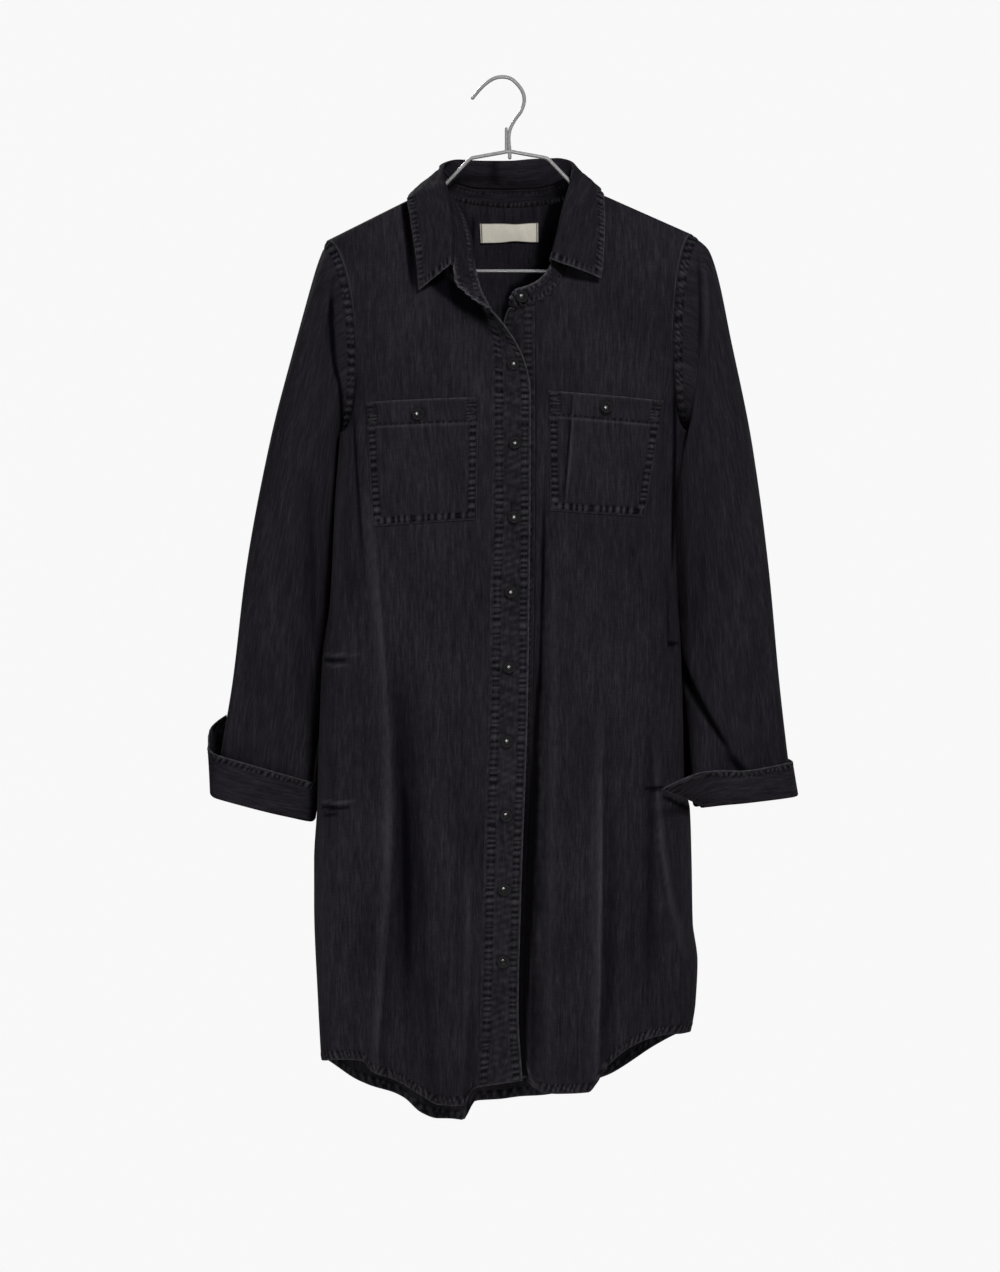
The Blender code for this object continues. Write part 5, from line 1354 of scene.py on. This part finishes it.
# ---- buttons and the hanger ------------------------------------------------------------------------
BUTTON_ROUND = 40
BUTTON_DOME = 2.9       # radius of the polished middle
BUTTON_PROFILE = (      # radius, and height below the face: a low dome, a groove and a rounded rim
    *((radius, 0.32 + radius**2 / 34) for radius in (0, 0.7, 1.4, 2.1, 2.6, BUTTON_DOME)),
    (3.25, 1.0), (3.65, 0.95), (4.0, 0.45), (4.4, 0.12), (4.9, 0), (5.4, 0.12), (5.8, 0.45), (6.08, 0.95),
    (BUTTON_RADIUS, 1.4), (6.05, 2.1), (5.4, 2.7), (4.4, BUTTON_THICK), (0, BUTTON_THICK),
)


def button_template():
    """One button, its face towards +Z: points and faces."""
    turn = 2 * math.pi * np.arange(BUTTON_ROUND) / BUTTON_ROUND
    circle = np.stack([np.cos(turn), np.sin(turn), 0 * turn], axis=-1)
    rings = [
        radius * (circle if radius else circle[:1]) + (0, 0, BUTTON_THICK - drop)
        for radius, drop in BUTTON_PROFILE
    ]
    return np.concatenate(rings), turned_faces(len(rings) - 2, BUTTON_ROUND)


def toward_front(axis):
    """The axis, turned so that it looks to the front."""
    return axis if axis[1] < 0 else -axis


def button_places():
    """Each button's name, its place and the way it faces."""
    def band(across, down):
        return band_point(OVERLAP, across, down * (len(OVERLAP["seam_x"]) - 1))

    places = []
    here, normals = lifted(band, PLACKET_BUTTONS["x"], PLACKET_BUTTONS["z"], (0.6, 0.6))
    for i, (place, axis) in enumerate(zip(here, facing(normals, (4,), FORWARD))):
        axis = toward_front(axis)
        places.append((f"button_{i + 1}", place + axis * (BUTTON_LIFT + 0.9), axis))
    for side in SIDES:
        def front(across, down, side=side):
            return front_point(side, across, down) - (0, SEAM_GAP, 0)

        x, z = POCKET_BUTTON[side]
        here, normals = lifted(front, np.array([x]), np.array([z]), (0.5, 0.3))
        axis = facing(normals, (0,), FORWARD)[0]
        places.append(("button_pocket_" + side, here[0] + axis * POCKET_BUTTON_LIFT, axis))
    at, step = STAND_BUTTON_STATION, 0.1
    along = stand_point(at + step, 0.5) - stand_point(at - step, 0.5)
    axis = toward_front(unit(np.cross(along, stand_point(at, 1) - stand_point(at, 0))))
    places.append(("button_stand", stand_point(at, 0.5) + axis * 1.5 * BUTTON_LIFT, axis))
    return places


def build_buttons():
    template, faces = button_template()
    polished = (np.hypot(template[:, 0], template[:, 1]) < BUTTON_DOME + 0.1) & (template[:, 2] > 1)
    rng = np.random.default_rng(5)
    for name, place, axis in button_places():
        lean = unit(axis + (0, -0.5, 0) + rng.uniform(-0.05, 0.05, 3))
        across = unit(np.cross((0.0, 0.0, 1.0), lean))
        up = np.cross(lean, across)
        spin = rng.uniform(-0.35, 0.35)
        c, s = math.cos(spin), math.sin(spin)
        points = template @ np.stack([across * c + up * s, up * c - across * s, lean]) + place
        piece = mesh_object(name + "_resin", points, faces, BUTTON, name, fields={"gloss": polished})
        piece.data.set_sharp_from_angle(angle=math.radians(42))


def round_wire(points, radius, sides=16, closed=False):
    """A round wire along points in the XZ plane, its open ends domed: points and faces."""
    path = np.array(points, float)
    padded = np.pad(path, ((1, 1), (0, 0)), mode="wrap" if closed else "edge")
    along = unit(padded[2:] - padded[:-2])
    side = np.stack([-along[:, 2], 0 * along[:, 0], along[:, 0]], axis=-1)
    radii = np.full(len(path), float(radius))
    if not closed:
        out, girth = radius * np.array((1.0, 0.85, 0.5))[:, None], radius * np.array((0.12, 0.5, 0.85))
        path = np.concatenate([path[0] - along[0] * out, path, path[-1] + along[-1] * out[::-1]])
        side = np.pad(side, ((len(out), len(out)), (0, 0)), mode="edge")
        radii = np.concatenate([girth, radii, girth[::-1]])
    turn = 2 * math.pi * np.arange(sides)[:, None] / sides
    ring = side[:, None] * np.cos(turn) + np.array(BACKWARD) * np.sin(turn)
    rings = path[:, None] + radii[:, None, None] * ring
    grid = np.arange(len(path) * sides).reshape(len(path), sides)
    faces = [cells(np.pad(grid, ((0, int(closed)), (0, 1)), mode="wrap"))]
    if not closed:
        faces += [grid[:1, ::-1], grid[-1:]]
    return rings.reshape(-1, 3), faces


def build_hanger():
    loop, fine = rounded_loop(), []
    for a, b in zip(loop, np.roll(loop, -1, axis=0)):
        steps = max(1, int(np.linalg.norm(b - a) / 14))
        fine.extend(mix(a, b, t) for t in np.arange(steps) / steps)
    at = np.linspace(0, len(HOOK["x"]) - 1, 120)
    hook = np.stack([smooth_path(HOOK["x"], at), 0 * at, smooth_path(HOOK["z"], at)], axis=-1)
    strand = [(11.6, 0, z) for z in np.linspace(-50, -73, 12)]
    loop, hook = round_wire(fine, WIRE_RADIUS, closed=True), round_wire(hook, WIRE_RADIUS * 1.01)
    points, faces = np.zeros((0, 3)), []
    for more, more_faces in (loop, hook, round_wire(strand, 1.5)):
        faces += [f + len(points) for f in more_faces]
        points = np.concatenate([points, more])
    mesh_object("hanger_wire", points, faces, WIRE, "hanger")


# ---- making it -----------------------------------------------------------------------------------------
build_fronts()
build_back()
build_sleeves()
build_cuffs()
build_collar_stand()
build_collar()
build_placket("placket_right", OVERLAP, 0.9, 1.75, 1.2, True)
build_placket("placket_left", UNDERLAP, 0.3, 2.6, 0.0, (0, 140))
build_pocket("right")
build_pocket("left")
build_label()
build_buttons()
build_hanger()
THREADS = {name: sew_thread(name.replace("_cloth", "_stitches"), groups) for name, groups in STITCHES.items()}

# ---- floor, light and camera ----------------------------------------------------------------------------
FLOOR_Z, FLOOR_RADIUS, FLOOR_SIDES = -1.6, 1.7, 128
rim_turn = 2 * math.pi * np.arange(FLOOR_SIDES) / FLOOR_SIDES
rim_points = [(FLOOR_RADIUS * math.cos(a), FLOOR_RADIUS * math.sin(a), FLOOR_Z) for a in rim_turn]
floor_mesh = bpy.data.meshes.new("floor")
floor_mesh.from_pydata(rim_points, [], [tuple(range(FLOOR_SIDES))])
floor_mesh.materials.append(Nodes("floor_pale").finish((0.80, 0.80, 0.80, 1), 0.95, 0.1))
floor = linked("floor", floor_mesh)

SEEN, LIGHTING = 0.94, 0.10      # the pale surroundings as they are seen, and as they light the cloth
world = bpy.data.worlds.new("studio")
world.use_nodes = True
tree = world.node_tree
ray = tree.nodes.new("ShaderNodeLightPath")
level = tree.nodes.new("ShaderNodeMapRange")
level.inputs["To Min"].default_value, level.inputs["To Max"].default_value = LIGHTING, SEEN
tree.links.new(ray.outputs["Is Camera Ray"], level.inputs["Value"])
tree.nodes["Background"].inputs["Color"].default_value = (1.0, 1.0, 1.0, 1)
tree.links.new(level.outputs["Result"], tree.nodes["Background"].inputs["Strength"])
bpy.context.scene.world = world
bpy.context.scene.view_settings.view_transform = "Standard"


def area_light(name, place, aim, size, power):
    data = bpy.data.lights.new(name, "AREA")
    data.shape, data.size, data.energy = "DISK", size, power
    lamp = linked(name, data)
    lamp.location = place
    lamp.rotation_mode = "QUATERNION"
    lamp.rotation_quaternion = (Vector(aim) - Vector(place)).to_track_quat("-Z", "Y")
    return lamp


# The buttons show the small light in front, and not the key.
area_light("key", (1.15, -2.45, 1.95), (0.0, 0.0, -0.55), 0.9, 112).visible_glossy = False
area_light("catch", (-0.22, -3.3, -0.43), (0.0, 0.0, -0.55), 0.56, 20).visible_diffuse = False
area_light("fill", (-2.5, -2.3, -0.75), (0.0, 0.0, -0.65), 2.2, 38).visible_glossy = False
area_light("behind_key", (-1.5, 2.5, 1.7), (0.0, 0.0, -0.6), 1.0, 92)
area_light("behind_fill", (2.4, 2.3, -0.3), (0.0, 0.0, -0.6), 2.2, 34)

camera_data = bpy.data.cameras.new("camera")
camera_data.sensor_width, camera_data.lens, camera_data.clip_end = 36.0, 87.93, 100
camera = linked("camera", camera_data)
camera.location = (0.00515, -3.2, -0.57268)
camera.rotation_euler = (math.pi / 2, 0, 0)
bpy.context.scene.camera = camera
